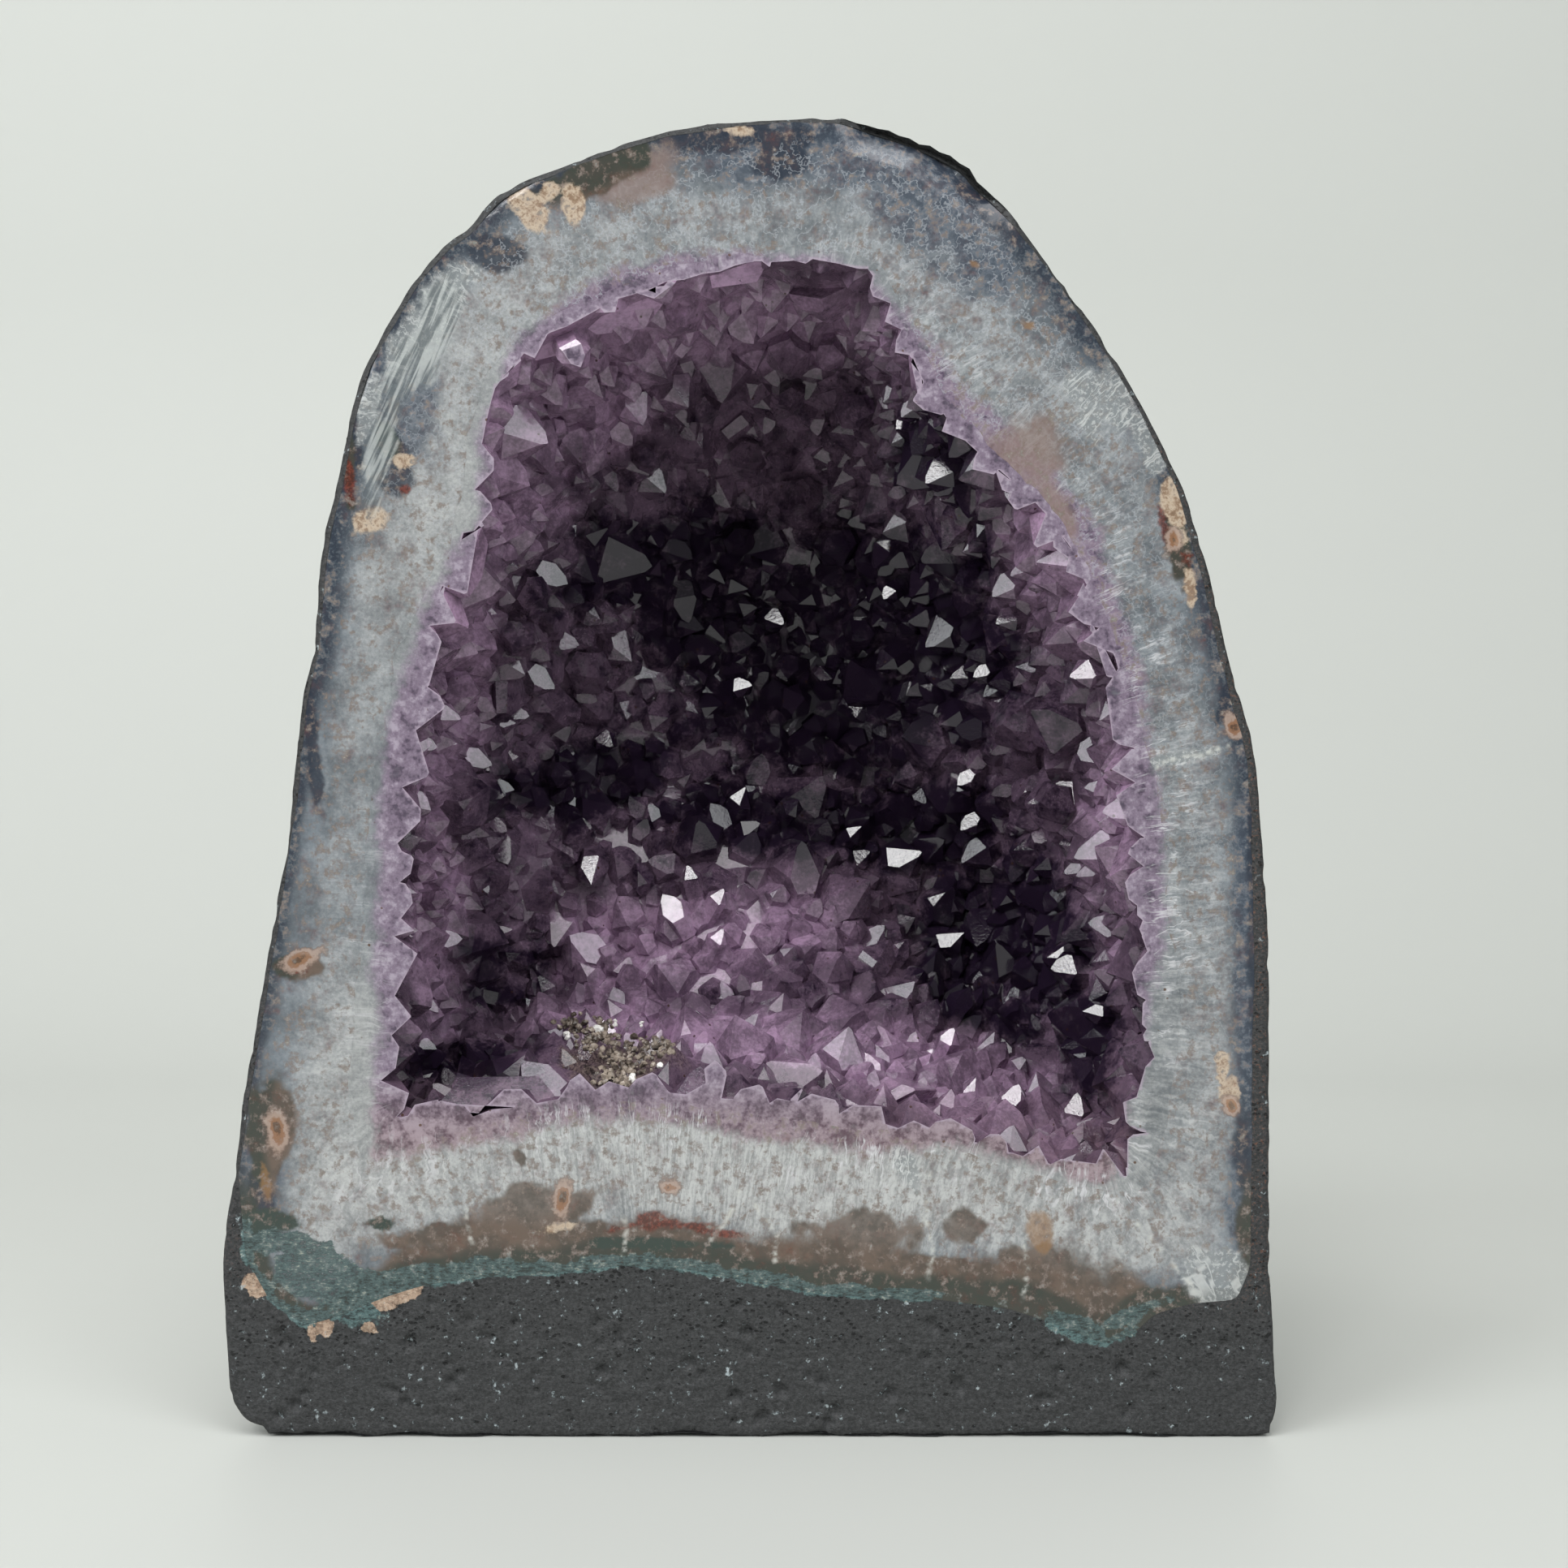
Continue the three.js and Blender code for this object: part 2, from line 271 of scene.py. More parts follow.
class BasaltSettings(bpy.types.PropertyGroup):
    rock: bpy.props.FloatVectorProperty(
        name="Rock", description="Colour of the bare basalt", subtype="COLOR", size=3,
        default=(0.033, 0.0335, 0.0345), min=0, max=1)
    dust: bpy.props.FloatVectorProperty(
        name="Dust", description="Paler, weathered basalt", subtype="COLOR", size=3,
        default=(0.1, 0.1, 0.098), min=0, max=1)
    green_earth: bpy.props.FloatVectorProperty(
        name="Green earth", description="The blue-green mineral along the seam", subtype="COLOR", size=3,
        default=(0.085, 0.145, 0.145), min=0, max=1)
    cream: bpy.props.FloatVectorProperty(
        name="Cream", description="Pinkish-cream mineral patches in the rock", subtype="COLOR", size=3,
        default=(0.42, 0.30, 0.22), min=0, max=1)
    detail: bpy.props.FloatProperty(
        name="Detail", description="Longest edge of the weathered surface's mesh", unit="LENGTH",
        default=3.0 * MM, min=0.5 * MM, max=10 * MM)
    roughness_height: bpy.props.FloatProperty(
        name="Roughness height", description="Height of the weathered surface's lumps", unit="LENGTH",
        default=1.3 * MM, min=0, max=5 * MM)
    pits: bpy.props.IntProperty(
        name="Pits", description="Gas pits pressed into the rock's surface",
        default=1500, min=0, max=10000)


class AgateSettings(bpy.types.PropertyGroup):
    milk: bpy.props.FloatVectorProperty(
        name="Milky quartz", description="The white quartz next to the crystals", subtype="COLOR", size=3,
        default=(0.46, 0.462, 0.455), min=0, max=1)
    agate: bpy.props.FloatVectorProperty(
        name="Agate", description="The grey-blue agate next to the rock", subtype="COLOR", size=3,
        default=(0.15, 0.172, 0.195), min=0, max=1)
    navy: bpy.props.FloatVectorProperty(
        name="Dark agate", description="The clearest, darkest agate", subtype="COLOR", size=3,
        default=(0.018, 0.025, 0.04), min=0, max=1)
    tan: bpy.props.FloatVectorProperty(
        name="Tan", description="Brown and tan layers", subtype="COLOR", size=3,
        default=(0.12, 0.085, 0.065), min=0, max=1)
    cream: bpy.props.FloatVectorProperty(
        name="Cream", description="Peach and cream inclusions", subtype="COLOR", size=3,
        default=(0.56, 0.45, 0.34), min=0, max=1)
    rust: bpy.props.FloatVectorProperty(
        name="Rust", description="Iron stains", subtype="COLOR", size=3,
        default=(0.17, 0.035, 0.02), min=0, max=1)
    pitch: bpy.props.FloatProperty(
        name="Face pitch", description="Spacing of the polished face's mesh", unit="LENGTH",
        default=0.8 * MM, min=0.3 * MM, max=5 * MM)


class AmethystSettings(bpy.types.PropertyGroup):
    glow: bpy.props.FloatVectorProperty(
        name="Body colour", description="Colour of cloudy amethyst", subtype="COLOR", size=3,
        default=(0.57, 0.37, 0.55), min=0, max=1)
    tint: bpy.props.FloatVectorProperty(
        name="Absorption", description="Colour that light takes on inside the crystal", subtype="COLOR",
        size=3, default=(0.5, 0.3, 0.62), min=0, max=1)
    density: bpy.props.FloatProperty(
        name="Absorption density", description="How strongly a metre of crystal absorbs light",
        default=150, min=0, max=2000)
    spacing: bpy.props.FloatProperty(
        name="Spacing", description="Middling distance between points", unit="LENGTH",
        default=4.3 * MM, min=2 * MM, max=20 * MM)
    seed: bpy.props.IntProperty(
        name="Seed", description="Which crust grows", default=11, min=0, max=9999)


class StageSettings(bpy.types.PropertyGroup):
    floor: bpy.props.FloatVectorProperty(
        name="Floor", description="Colour of the floor", subtype="COLOR", size=3,
        default=(0.575, 0.585, 0.555), min=0, max=1)
    sky: bpy.props.FloatVectorProperty(
        name="Studio", description="Colour of the light all round", subtype="COLOR", size=3,
        default=(0.86, 0.9, 0.88), min=0, max=1)
    sky_strength: bpy.props.FloatProperty(
        name="Studio strength", description="Strength of the light all round",
        default=0.25, min=0, max=10)


# Material helpers


def shade(colour, share):
    """A colour made darker or brighter."""
    return tuple(share * part for part in colour)


class Surface:
    """A material's node tree, with short ways to add the nodes that the finishes share."""

    def __init__(self, name):
        self.material = bpy.data.materials.new(name)
        self.material.use_nodes = True
        self.tree = self.material.node_tree
        self.shader = self.tree.nodes["Principled BSDF"]
        self.output = self.tree.nodes["Material Output"]

    def node(self, kind, **values):
        made = self.tree.nodes.new(kind)
        for key, value in values.items():
            setattr(made, key, value)
        return made

    def link(self, source, target):
        self.tree.links.new(source, target)
        return source

    def mask(self, name):
        return self.node("ShaderNodeAttribute", attribute_name=name).outputs["Fac"]

    def place(self):
        return self.node("ShaderNodeNewGeometry").outputs["Position"]

    def squeezed(self, x, y, z):
        """The place with its parts multiplied, for textures that run longer one way."""
        made = self.node("ShaderNodeVectorMath", operation="MULTIPLY")
        made.inputs[1].default_value = (x, y, z)
        self.link(self.place(), made.inputs[0])
        return made.outputs["Vector"]

    def turned(self, tilt, long_way):
        """The place in axes tilted from upright, with the tilted way drawn out."""
        made = self.node("ShaderNodeMapping", vector_type="TEXTURE")
        made.inputs["Rotation"].default_value = (0, tilt, 0)
        made.inputs["Scale"].default_value = (1, 1, long_way)
        self.link(self.place(), made.inputs["Vector"])
        return made.outputs["Vector"]

    def noise(self, size, detail=4.0, rough=0.55, stretch=None, distortion=0.0):
        """Noise with swells of the given size in metres, from 0 to 1."""
        made = self.node("ShaderNodeTexNoise")
        made.inputs["Scale"].default_value = 1.0 / size
        made.inputs["Detail"].default_value = detail
        made.inputs["Roughness"].default_value = rough
        made.inputs["Distortion"].default_value = distortion
        self.link(stretch or self.place(), made.inputs["Vector"])
        return made.outputs["Fac"]

    def cells(self, size, feature="F1", output="Distance", stretch=None):
        made = self.node("ShaderNodeTexVoronoi", feature=feature)
        made.inputs["Scale"].default_value = 1.0 / size
        self.link(stretch or self.place(), made.inputs["Vector"])
        return made.outputs[output]

    def math(self, operation, a, b=0.0):
        made = self.node("ShaderNodeMath", operation=operation)
        for socket, value in zip(made.inputs, (a, b)):
            if isinstance(value, (int, float)):
                socket.default_value = value
            else:
                self.link(value, socket)
        return made.outputs[0]

    def times(self, a, b):
        return self.math("MULTIPLY", a, b)

    def plus(self, a, b):
        return self.math("ADD", a, b)

    def centred(self, value):
        """A noise moved from 0 to 1 to lie about 0."""
        return self.math("SUBTRACT", value, 0.5)

    def step(self, value, low, high, out_low=0.0, out_high=1.0):
        made = self.node("ShaderNodeMapRange", interpolation_type="SMOOTHSTEP")
        made.inputs["From Min"].default_value = low
        made.inputs["From Max"].default_value = high
        made.inputs["To Min"].default_value = out_low
        made.inputs["To Max"].default_value = out_high
        self.link(value, made.inputs["Value"])
        return made.outputs["Result"]

    def ridge(self, value, width):
        """Thin lines where a noise passes its middle."""
        return self.step(self.math("ABSOLUTE", self.centred(value)), 0.0, width, 1, 0)

    def mix(self, share, a, b, blend="MIX"):
        made = self.node("ShaderNodeMix", data_type="RGBA", blend_type=blend)
        inputs = [s for s in made.inputs if s.type == "RGBA"]
        for socket, value in ((made.inputs[0], share), (inputs[0], a), (inputs[1], b)):
            if isinstance(value, (int, float)):
                socket.default_value = value
            elif isinstance(value, bpy.types.NodeSocket):
                self.link(value, socket)
            else:
                socket.default_value = (*value, 1.0)
        return [s for s in made.outputs if s.type == "RGBA"][0]

    def frayed(self, mask, ragged, fray, sharp):
        """A painted mask with its edge broken up by a noise and drawn crisper."""
        shifted = self.plus(mask, self.times(self.centred(ragged), fray))
        return self.step(shifted, 0.5 - sharp, 0.5 + sharp)

    def patch(self, under, name, ragged, fray, sharp, over, share=1):
        """A colour laid over another where a painted mask says, its edge frayed."""
        cover = self.frayed(self.mask(name), ragged, fray, sharp)
        return self.mix(self.times(cover, share) if share < 1 else cover, under, over)

    def bump(self, heights):
        """Joins (height, depth in metres) pairs into one chain of bumps on the shader."""
        normal = None
        for height, depth in heights:
            made = self.node("ShaderNodeBump")
            made.inputs["Strength"].default_value = 1.0
            made.inputs["Distance"].default_value = depth
            self.link(height, made.inputs["Height"])
            if normal:
                self.link(normal, made.inputs["Normal"])
            normal = made.outputs["Normal"]
        self.link(normal, self.shader.inputs["Normal"])


# Meshes made from the solids


def split_long_edges(bm, edges, longest):
    """Splits edges evenly so that no piece is longer than a length."""
    by_cuts = {}
    for edge in edges:
        cuts = math.ceil(edge.calc_length() / longest) - 1
        if cuts > 0:
            by_cuts.setdefault(cuts, []).append(edge)
    for cuts, group in by_cuts.items():
        bmesh.ops.subdivide_edges(bm, edges=group, cuts=cuts, use_grid_fill=False)


def halve_edges(bm, faces_wanted, longest):
    """Halves the edges of the wanted faces until none is longer than a length."""
    for _ in range(8):
        edges = [e for f in bm.faces if faces_wanted(f) for e in f.edges if e.calc_length() > longest]
        edges = list(dict.fromkeys(edges))  # in a fixed order, so that each run gives the same mesh
        if not edges:
            return
        bmesh.ops.subdivide_edges(bm, edges=edges, cuts=1, use_grid_fill=False)
        bmesh.ops.triangulate(bm, faces=[f for f in bm.faces if len(f.verts) > 3])


def finished_mesh(bm, name, sharp_angle):
    """Turns a bmesh into a smooth mesh whose creases stay crisp."""
    bmesh.ops.recalc_face_normals(bm, faces=bm.faces)
    bm.normal_update()
    for face in bm.faces:
        face.smooth = True
    for edge in bm.edges:
        edge.smooth = edge.calc_face_angle(0) < sharp_angle
    mesh = bpy.data.meshes.new(name)
    bm.to_mesh(mesh)
    bm.free()
    return mesh


def boundary_verts(bm):
    return [v for v in bm.verts if any(e.is_boundary for e in v.link_edges)]


ROW_SPACING = 0.866  # of an even grid of triangles, in its pitches
SHAKE = 0.18  # how far a grid point may be moved each way, in pitches
RIM_CLEARANCE = 0.6  # grid points this near to the outline are left out, in pitches
WHOLE_HULL = 0  # the kind of filling that keeps every triangle
CLOSEST = 1e-7  # places nearer than this, in metres, count as one


def fill_face(bm, pitch, inside, y, seed):
    """Fills the open outlines on the polished face with an even, slightly shaken grid."""
    rim = boundary_verts(bm)
    index = {v: i for i, v in enumerate(rim)}
    edges = []
    for edge in (e for e in bm.edges if e.is_boundary):
        loop = edge.link_loops[0]
        edges.append((index[loop.link_loop_next.vert], index[loop.vert]))  # as the new face runs along it
    tree = tree_of([(v.co.x, v.co.z, 0) for v in rim])
    low, high = CAD_BOX
    columns = np.arange(low.x, high.x, pitch)
    rows = np.arange(low.z, high.z, pitch * ROW_SPACING)
    grid = np.array([(x + (row % 2) * pitch / 2, z) for row, z in enumerate(rows) for x in columns])
    grid += np.random.default_rng(seed).uniform(-SHAKE, SHAKE, grid.shape) * pitch
    grid = grid[inside(grid[:, 0], grid[:, 1])]
    far = [g for g in grid if tree.find((g[0], g[1], 0))[2] > RIM_CLEARANCE * pitch]
    points = [Vector((v.co.x, v.co.z)) for v in rim] + [Vector(g) for g in far]
    filling = delaunay_2d_cdt(points, edges, [], WHOLE_HULL, CLOSEST, True)
    out_points, out_edges, out_faces, from_points, from_edges, _ = filling
    walls, entries = set(), set()
    for (a, b), sources in zip(out_edges, from_edges):
        for source in sources:
            first, last = edges[source]
            walls.add(frozenset((a, b)))
            along = (points[last] - points[first]).dot(out_points[b] - out_points[a])
            entries.add((a, b) if along > 0 else (b, a))
    sides = {}
    for number, face in enumerate(out_faces):
        for a, b in zip(face, (*face[1:], face[0])):
            sides[(a, b)] = number
    fresh = [sides[entry] for entry in entries if entry in sides]
    filled = set(fresh)
    while fresh:
        face = out_faces[fresh.pop()]
        for a, b in zip(face, (*face[1:], face[0])):
            other = sides.get((b, a))
            if other is not None and other not in filled and frozenset((a, b)) not in walls:
                filled.add(other)
                fresh.append(other)
    verts = {}
    for number in sorted(filled):
        for i in out_faces[number]:
            if i not in verts:
                known = [s for s in from_points[i] if s < len(rim)]
                place = (out_points[i].x, y, out_points[i].y)
                verts[i] = rim[known[0]] if known else bm.verts.new(place)
    for number in sorted(filled):
        corners = [verts[i] for i in out_faces[number]]
        if len(set(corners)) == 3 and bm.faces.get(corners) is None:
            bm.faces.new(corners)


# Places seen in the photograph, turned into places on the polished face or in the hollow

PHOTO_SCALE = 0.15366 * MM  # metres on the face for each of the photograph's pixels
PHOTO_MIDDLE = 922  # the pixel column of the part's middle
PHOTO_GROUND = 1770  # the pixel row of the base's foot
PHOTO_SIDE = 1932  # pixels across the whole photograph
PART_SHIFT = 0.36 * MM  # the frame's middle lies this far right of the part's own
EYE_DISTANCE = 409 * MM  # from the polished face to the camera
EYE = Vector((
    (PHOTO_SIDE / 2 - PHOTO_MIDDLE) * PHOTO_SCALE - PART_SHIFT,
    FACE_Y - EYE_DISTANCE,
    (PHOTO_GROUND - PHOTO_SIDE / 2) * PHOTO_SCALE,
))


def face_x(column):
    return (np.asarray(column, float) - PHOTO_MIDDLE) * PHOTO_SCALE - PART_SHIFT


def face_z(row):
    return (PHOTO_GROUND - np.asarray(row, float)) * PHOTO_SCALE


def sight(column, row):
    """The line of sight through a pixel, from the camera."""
    target = Vector((float(face_x(column)), FACE_Y, float(face_z(row))))
    return (target - EYE).normalized()


# The outline of the polished face and the seam between rock and agate, traced as (column, row)
FACE_OUTLINE = [
    (299, 1750), (289, 1736), (281, 1712), (279, 1670), (275, 1600), (272, 1550), (277, 1500),
    (286, 1450), (292, 1400), (299, 1350), (307, 1300), (319, 1230), (333, 1150), (341, 1100),
    (352, 1050), (356, 1000), (361, 950), (366, 900), (372, 850), (385, 800), (389, 750),
    (392, 700), (400, 650), (413, 600), (423, 550), (432, 500), (447, 450), (474, 400), (504, 350),
    (545, 301), (577, 280), (591, 259), (610, 240), (647, 220), (702, 200), (757, 179), (821, 160),
    (880, 151), (930, 146), (1000, 143), (1042, 143), (1078, 152), (1110, 162), (1158, 180),
    (1193, 199), (1211, 220), (1232, 242), (1262, 280), (1314, 350), (1349, 400), (1381, 450),
    (1411, 500), (1436, 550), (1460, 600), (1476, 650), (1490, 700), (1502, 750), (1512, 800),
    (1526, 850), (1541, 900), (1549, 950), (1553, 1000), (1562, 1100), (1566, 1200), (1566, 1300),
    (1565, 1450), (1566, 1550), (1571, 1650), (1575, 1720), (1572, 1748), (1562, 1764),
    (1500, 1770), (900, 1772), (400, 1768), (340, 1763), (312, 1757),
]
SEAM_OUTLINE = [
    (297, 1500), (303, 1550), (330, 1602), (375, 1634), (420, 1622), (470, 1600), (520, 1584),
    (600, 1573), (680, 1570), (760, 1560), (850, 1564), (920, 1578), (1000, 1592), (1080, 1599),
    (1160, 1602), (1240, 1612), (1300, 1632), (1360, 1656), (1395, 1646), (1425, 1618),
    (1470, 1606), (1525, 1602), (1541, 1560), (1542, 1450), (1543, 1300), (1546, 1200),
    (1544, 1100), (1541, 1000), (1537, 940), (1529, 900), (1514, 850), (1501, 800), (1491, 750),
    (1479, 700), (1465, 650), (1450, 600), (1425, 550), (1401, 500), (1371, 450), (1339, 400),
    (1304, 350), (1253, 282), (1222, 246), (1186, 207), (1152, 189), (1100, 168), (1040, 151),
    (1000, 151), (920, 154), (821, 168), (757, 188), (704, 208), (652, 228), (617, 247), (597, 268),
    (580, 288), (553, 307), (512, 355), (482, 404), (455, 453), (440, 502), (431, 552), (421, 602),
    (408, 652), (400, 702), (397, 752), (393, 802), (380, 852), (374, 902), (364, 1002),
    (349, 1102), (341, 1152), (327, 1232), (315, 1302), (307, 1352), (300, 1402), (294, 1452),
]


def traced(outline):
    """A traced outline as its distance from the middle in each direction."""
    columns, rows = np.array(outline, float).T
    return evened(reach_of(np.column_stack([face_x(columns), face_z(rows)])), TRACED_EASE)


FACE_EDGE = traced(FACE_OUTLINE)
SEAM_EDGE = traced(SEAM_OUTLINE)


def nearest(border, points):
    """For each [x, z] place, its distance from a border and the index of the nearest border point."""
    tree = tree_of([(x, z, 0) for x, z in border])
    found = [tree.find((x, z, 0)) for x, z in points]
    return np.array([f[2] for f in found]), np.array([f[1] for f in found])


def border_points(reach):
    return np.array(MIDDLE) + CIRCLE * reach[:, None]


def turned_offset(x, z, column, row, wide, high, turn):
    """How far places on the face lie from a pixel along a turned pair of axes, in half widths."""
    across = (x - face_x(column)) / PHOTO_SCALE
    up = (z - face_z(row)) / PHOTO_SCALE
    along = across * math.cos(turn) + up * math.sin(turn)
    aside = up * math.cos(turn) - across * math.sin(turn)
    return along / wide, aside / high


def spots(x, z, places, ragged=0.35, seed=0, soft=0.25):
    """How strongly each place on the face lies in one of the spots, from 0 to 1.

    A spot is (column, row, half width, half height, turn) in the photograph's pixels."""
    shake = cloud(np.column_stack([x, z]), 4 * MM, 3, 41 + seed)
    total = np.zeros(len(x))
    for place in places:
        off = np.hypot(*turned_offset(x, z, *place)) + ragged * shake
        total = np.maximum(total, 1 - ramp(off, 1 - soft, 1 + soft))
    return total


# The worn outer edge of the polished face

EDGE_WIDTH = 1.1 * MM
EDGE_DEPTH = 0.7 * MM
SHOULDER_ANGLES = (1.17, 1.42)  # where a smooth slope was ground on the top edge, in radians
SHOULDER_WIDTH = 6.5 * MM
SHOULDER_DEPTH = 3.6 * MM
SHOULDER_EASE = (0.06, 0.05)  # how far out each end of it runs, in radians


def worn_back(x, z, to_edge):
    """How far the worn edge lies behind the polished face."""
    turn = direction(x, z)
    low, high = SHOULDER_ANGLES
    starts = ramp(turn, low - SHOULDER_EASE[0], low + 0.04)
    shoulder = starts * (1 - ramp(turn, high - 0.04, high + SHOULDER_EASE[1]))
    shake = 1 + 0.6 * cloud(np.column_stack([x, z]), 7 * MM, 3, 91)
    plain = EDGE_DEPTH * shake * np.clip(1 - to_edge / (EDGE_WIDTH * shake), 0, 1) ** 2
    ground = SHOULDER_DEPTH * np.clip(1 - to_edge / SHOULDER_WIDTH, 0, 1) ** 1.4
    return np.maximum(plain, shoulder * ground)


# Basalt

FACE_PITS = 260  # pits large enough to model on the sawn and polished base
PIT_RADIUS = (0.35 * MM, 1.5 * MM)
SMALLEST_PIT = 0.55 * MM  # what the mesh of the face can hold
GREEN_SPOTS = [
    (345, 1530, 40, 16, -0.1), (400, 1580, 70, 40, -0.5), (500, 1572, 60, 14, 0.15),
    (590, 1562, 50, 12, 0.1), (660, 1563, 50, 8, 0.05), (760, 1554, 60, 8, 0.05),
    (850, 1558, 60, 7, -0.1), (960, 1576, 60, 7, -0.2), (1050, 1589, 50, 6, -0.1),
    (1120, 1594, 40, 6, -0.05), (1320, 1634, 40, 14, -0.3), (1400, 1618, 36, 10, 0.4),
]
CREAM_SPOTS = [
    (330, 1552, 20, 30, 0.5), (318, 1580, 22, 16, 0.1), (498, 1590, 46, 13, 0.4),
    (400, 1634, 15, 12, 0.8), (385, 1645, 6, 12, 0.2), (454, 1637, 8, 6, 0),
    (536, 1574, 26, 7, 0.2),
]
# How green the strip along the seam is, by pixel column
GREEN_STRIP = [
    (300, 1), (1130, 1), (1160, 0.3), (1285, 0.3), (1310, 1), (1385, 0.9), (1420, 0), (1560, 0),
]
BLUE_WHITE_SPOTS = [(398, 1568, 32, 9, -0.35), (640, 1562, 60, 4, 0.05), (1240, 1590, 6, 12, 0)]


def face_side(inner, outer):
    """Says which [x, z] places lie between two borders."""
    def inside(x, z):
        turn = direction(x, z)
        far = distance(x, z)
        return (far > reach_at(inner, turn)) & (far < reach_at(outer, turn))
    return inside


def open_front(node):
    """A CAD node's surface without its face on the polished plane."""
    bm = joined_copy(node)
    bmesh.ops.delete(bm, geom=cut_faces(bm), context="FACES_ONLY")
    loose = [e for e in bm.edges if not e.link_faces]
    bmesh.ops.delete(bm, geom=loose, context="EDGES")
    return bm


def joined_to(start):
    """The vertices joined to one vertex, in a fixed order, so that each run gives the same mesh."""
    found = {start: None}
    fresh = found
    while fresh:
        fresh = dict.fromkeys(o for v in fresh for e in v.link_edges for o in e.verts if o not in found)
        found.update(fresh)
    return found


def put_on(vert, line):
    """Moves a vertex straight out from the middle onto a border."""
    keep = reach_at(line, direction(vert.co.x, vert.co.z)) / distance(vert.co.x, vert.co.z)
    vert.co.x = MIDDLE[0] + (vert.co.x - MIDDLE[0]) * keep
    vert.co.z = MIDDLE[1] + (vert.co.z - MIDDLE[1]) * keep


def farthest_out(verts):
    return max(verts, key=lambda v: distance(v.co.x, v.co.z))


ROCK_RIM_EDGE = 1.0 * MM  # longest edges along the outlines of the polished face
BAND_RIM_EDGE = 0.9 * MM
ROCK_PITCH = 0.62 * MM  # of the grid that fills the rock's polished face
BAND_WALL_EDGE = 4.2 * MM
BAND_RECESS = 0.06 * MM  # the band's face lies this far behind the rock's
SEAM_OVERLAP = 0.12 * MM  # the band runs on under the rock's edge, so that the seam has no gap
ROCK_CREASE = math.radians(55)  # edges turned by more than this stay sharp
BAND_CREASE = math.radians(35)


def rock_mesh(settings):
    bm = open_front("basalt_matrix")
    outer = joined_to(max(bm.verts, key=lambda v: v.co.length))
    tag = bm.faces.layers.int.new("outer")
    for face in bm.faces:
        face[tag] = int(face.verts[0] in outer)
    halve_edges(bm, lambda f: f[tag] == 1, settings.detail)
    split_long_edges(bm, [e for e in bm.edges if e.is_boundary], ROCK_RIM_EDGE)
    bmesh.ops.triangulate(bm, faces=[f for f in bm.faces if len(f.verts) > 3])
    outer = joined_to(max(bm.verts, key=lambda v: v.co.length))
    for vert in boundary_verts(bm):
        if vert not in outer:
            put_on(vert, SEAM_LINE)
    bm.verts.index_update()
    bm.normal_update()
    weather([v for v in bm.verts if v in outer], settings)
    rim = np.array([(v.co.x, v.co.z) for v in boundary_verts(bm) if v in outer])
    turn, far = direction(rim[:, 0], rim[:, 1]), distance(rim[:, 0], rim[:, 1])
    order = np.argsort(turn)
    edge_reach = np.interp(ANGLES, turn[order], far[order], period=2 * math.pi)
    fill_face(bm, ROCK_PITCH, face_side(SEAM_LINE, edge_reach), FACE_Y, 5)
    bm.verts.index_update()
    dress_face(bm, rim)
    return finished_mesh(bm, "basalt_rock", ROCK_CREASE)


TRUE_DEPTH = 30 * MM  # behind the face, the rock's side is eased to the traced outline this far
CALM_DEPTH = 12 * MM  # and its lumps are lower up to here
FOOT = 0.2 * MM  # what is lower than this belongs to the flat base
FLATNESS = 0.02 * MM  # what lies this near to a flat face belongs to it
GAS_PIT_SIZES = (1.2 * MM, 3.2 * MM)
GAS_PIT_DEPTH = 0.45  # in their own radii
BASE_TOP = 26 * MM  # the bare rock of the polished face ends below this


def weather(verts, settings):
    """Fits the rock's side to the traced outline, and adds lumps, hollows and gas pits."""
    co = np.array([v.co for v in verts])
    normal = np.array([v.normal for v in verts])
    turn = direction(co[:, 0], co[:, 2])
    behind = co[:, 1] - FACE_Y
    ease = 1 - ramp(behind, 0, TRUE_DEPTH)
    fit = 1 + ease * (reach_at(FACE_EDGE, turn) / reach_at(ROCK_REACH, turn) - 1)
    co[:, 0] = MIDDLE[0] + (co[:, 0] - MIDDLE[0]) * fit
    co[:, 2] = np.where(co[:, 2] < FOOT, co[:, 2], MIDDLE[1] + (co[:, 2] - MIDDLE[1]) * fit)
    lump = cloud(co, 16 * MM, 5, 201, 0.62)
    fine = cloud(co, 3.5 * MM, 2, 207)
    push = settings.roughness_height * (0.9 * lump - 0.55 + 0.35 * fine)
    random = np.random.default_rng(77)
    tree = tree_of(co)
    for place in co[random.integers(0, len(co), settings.pits)]:
        size = random.uniform(*GAS_PIT_SIZES) * random.uniform(0.5, 1)
        for _, i, far in tree.find_range(place, size):
            push[i] -= GAS_PIT_DEPTH * size * (1 - (far / size) ** 2)
    push = push * (0.3 + 0.7 * ramp(behind, 0, CALM_DEPTH))
    on_base = co[:, 2] < FOOT
    new = co + normal * np.where(on_base, 0, push)[:, None]
    uneven = 0.25 * MM * (1 + lump) * ramp(behind, 0, 3 * MM)
    foot_wave = 0.9 * MM * np.clip(cloud(co[:, [0, 1]], 9 * MM, 3, 219) + 0.25, 0, 1)
    foot_wave = foot_wave * (1 - ramp(behind, 0.5 * MM, 6 * MM))
    new[:, 2] = np.where(on_base, co[:, 2] + uneven + foot_wave, new[:, 2])
    new[:, 1] = np.where(np.abs(behind) < FLATNESS, FACE_Y, new[:, 1])
    for vert, place in zip(verts, np.clip(new, *np.array(CAD_BOX))):
        vert.co = place


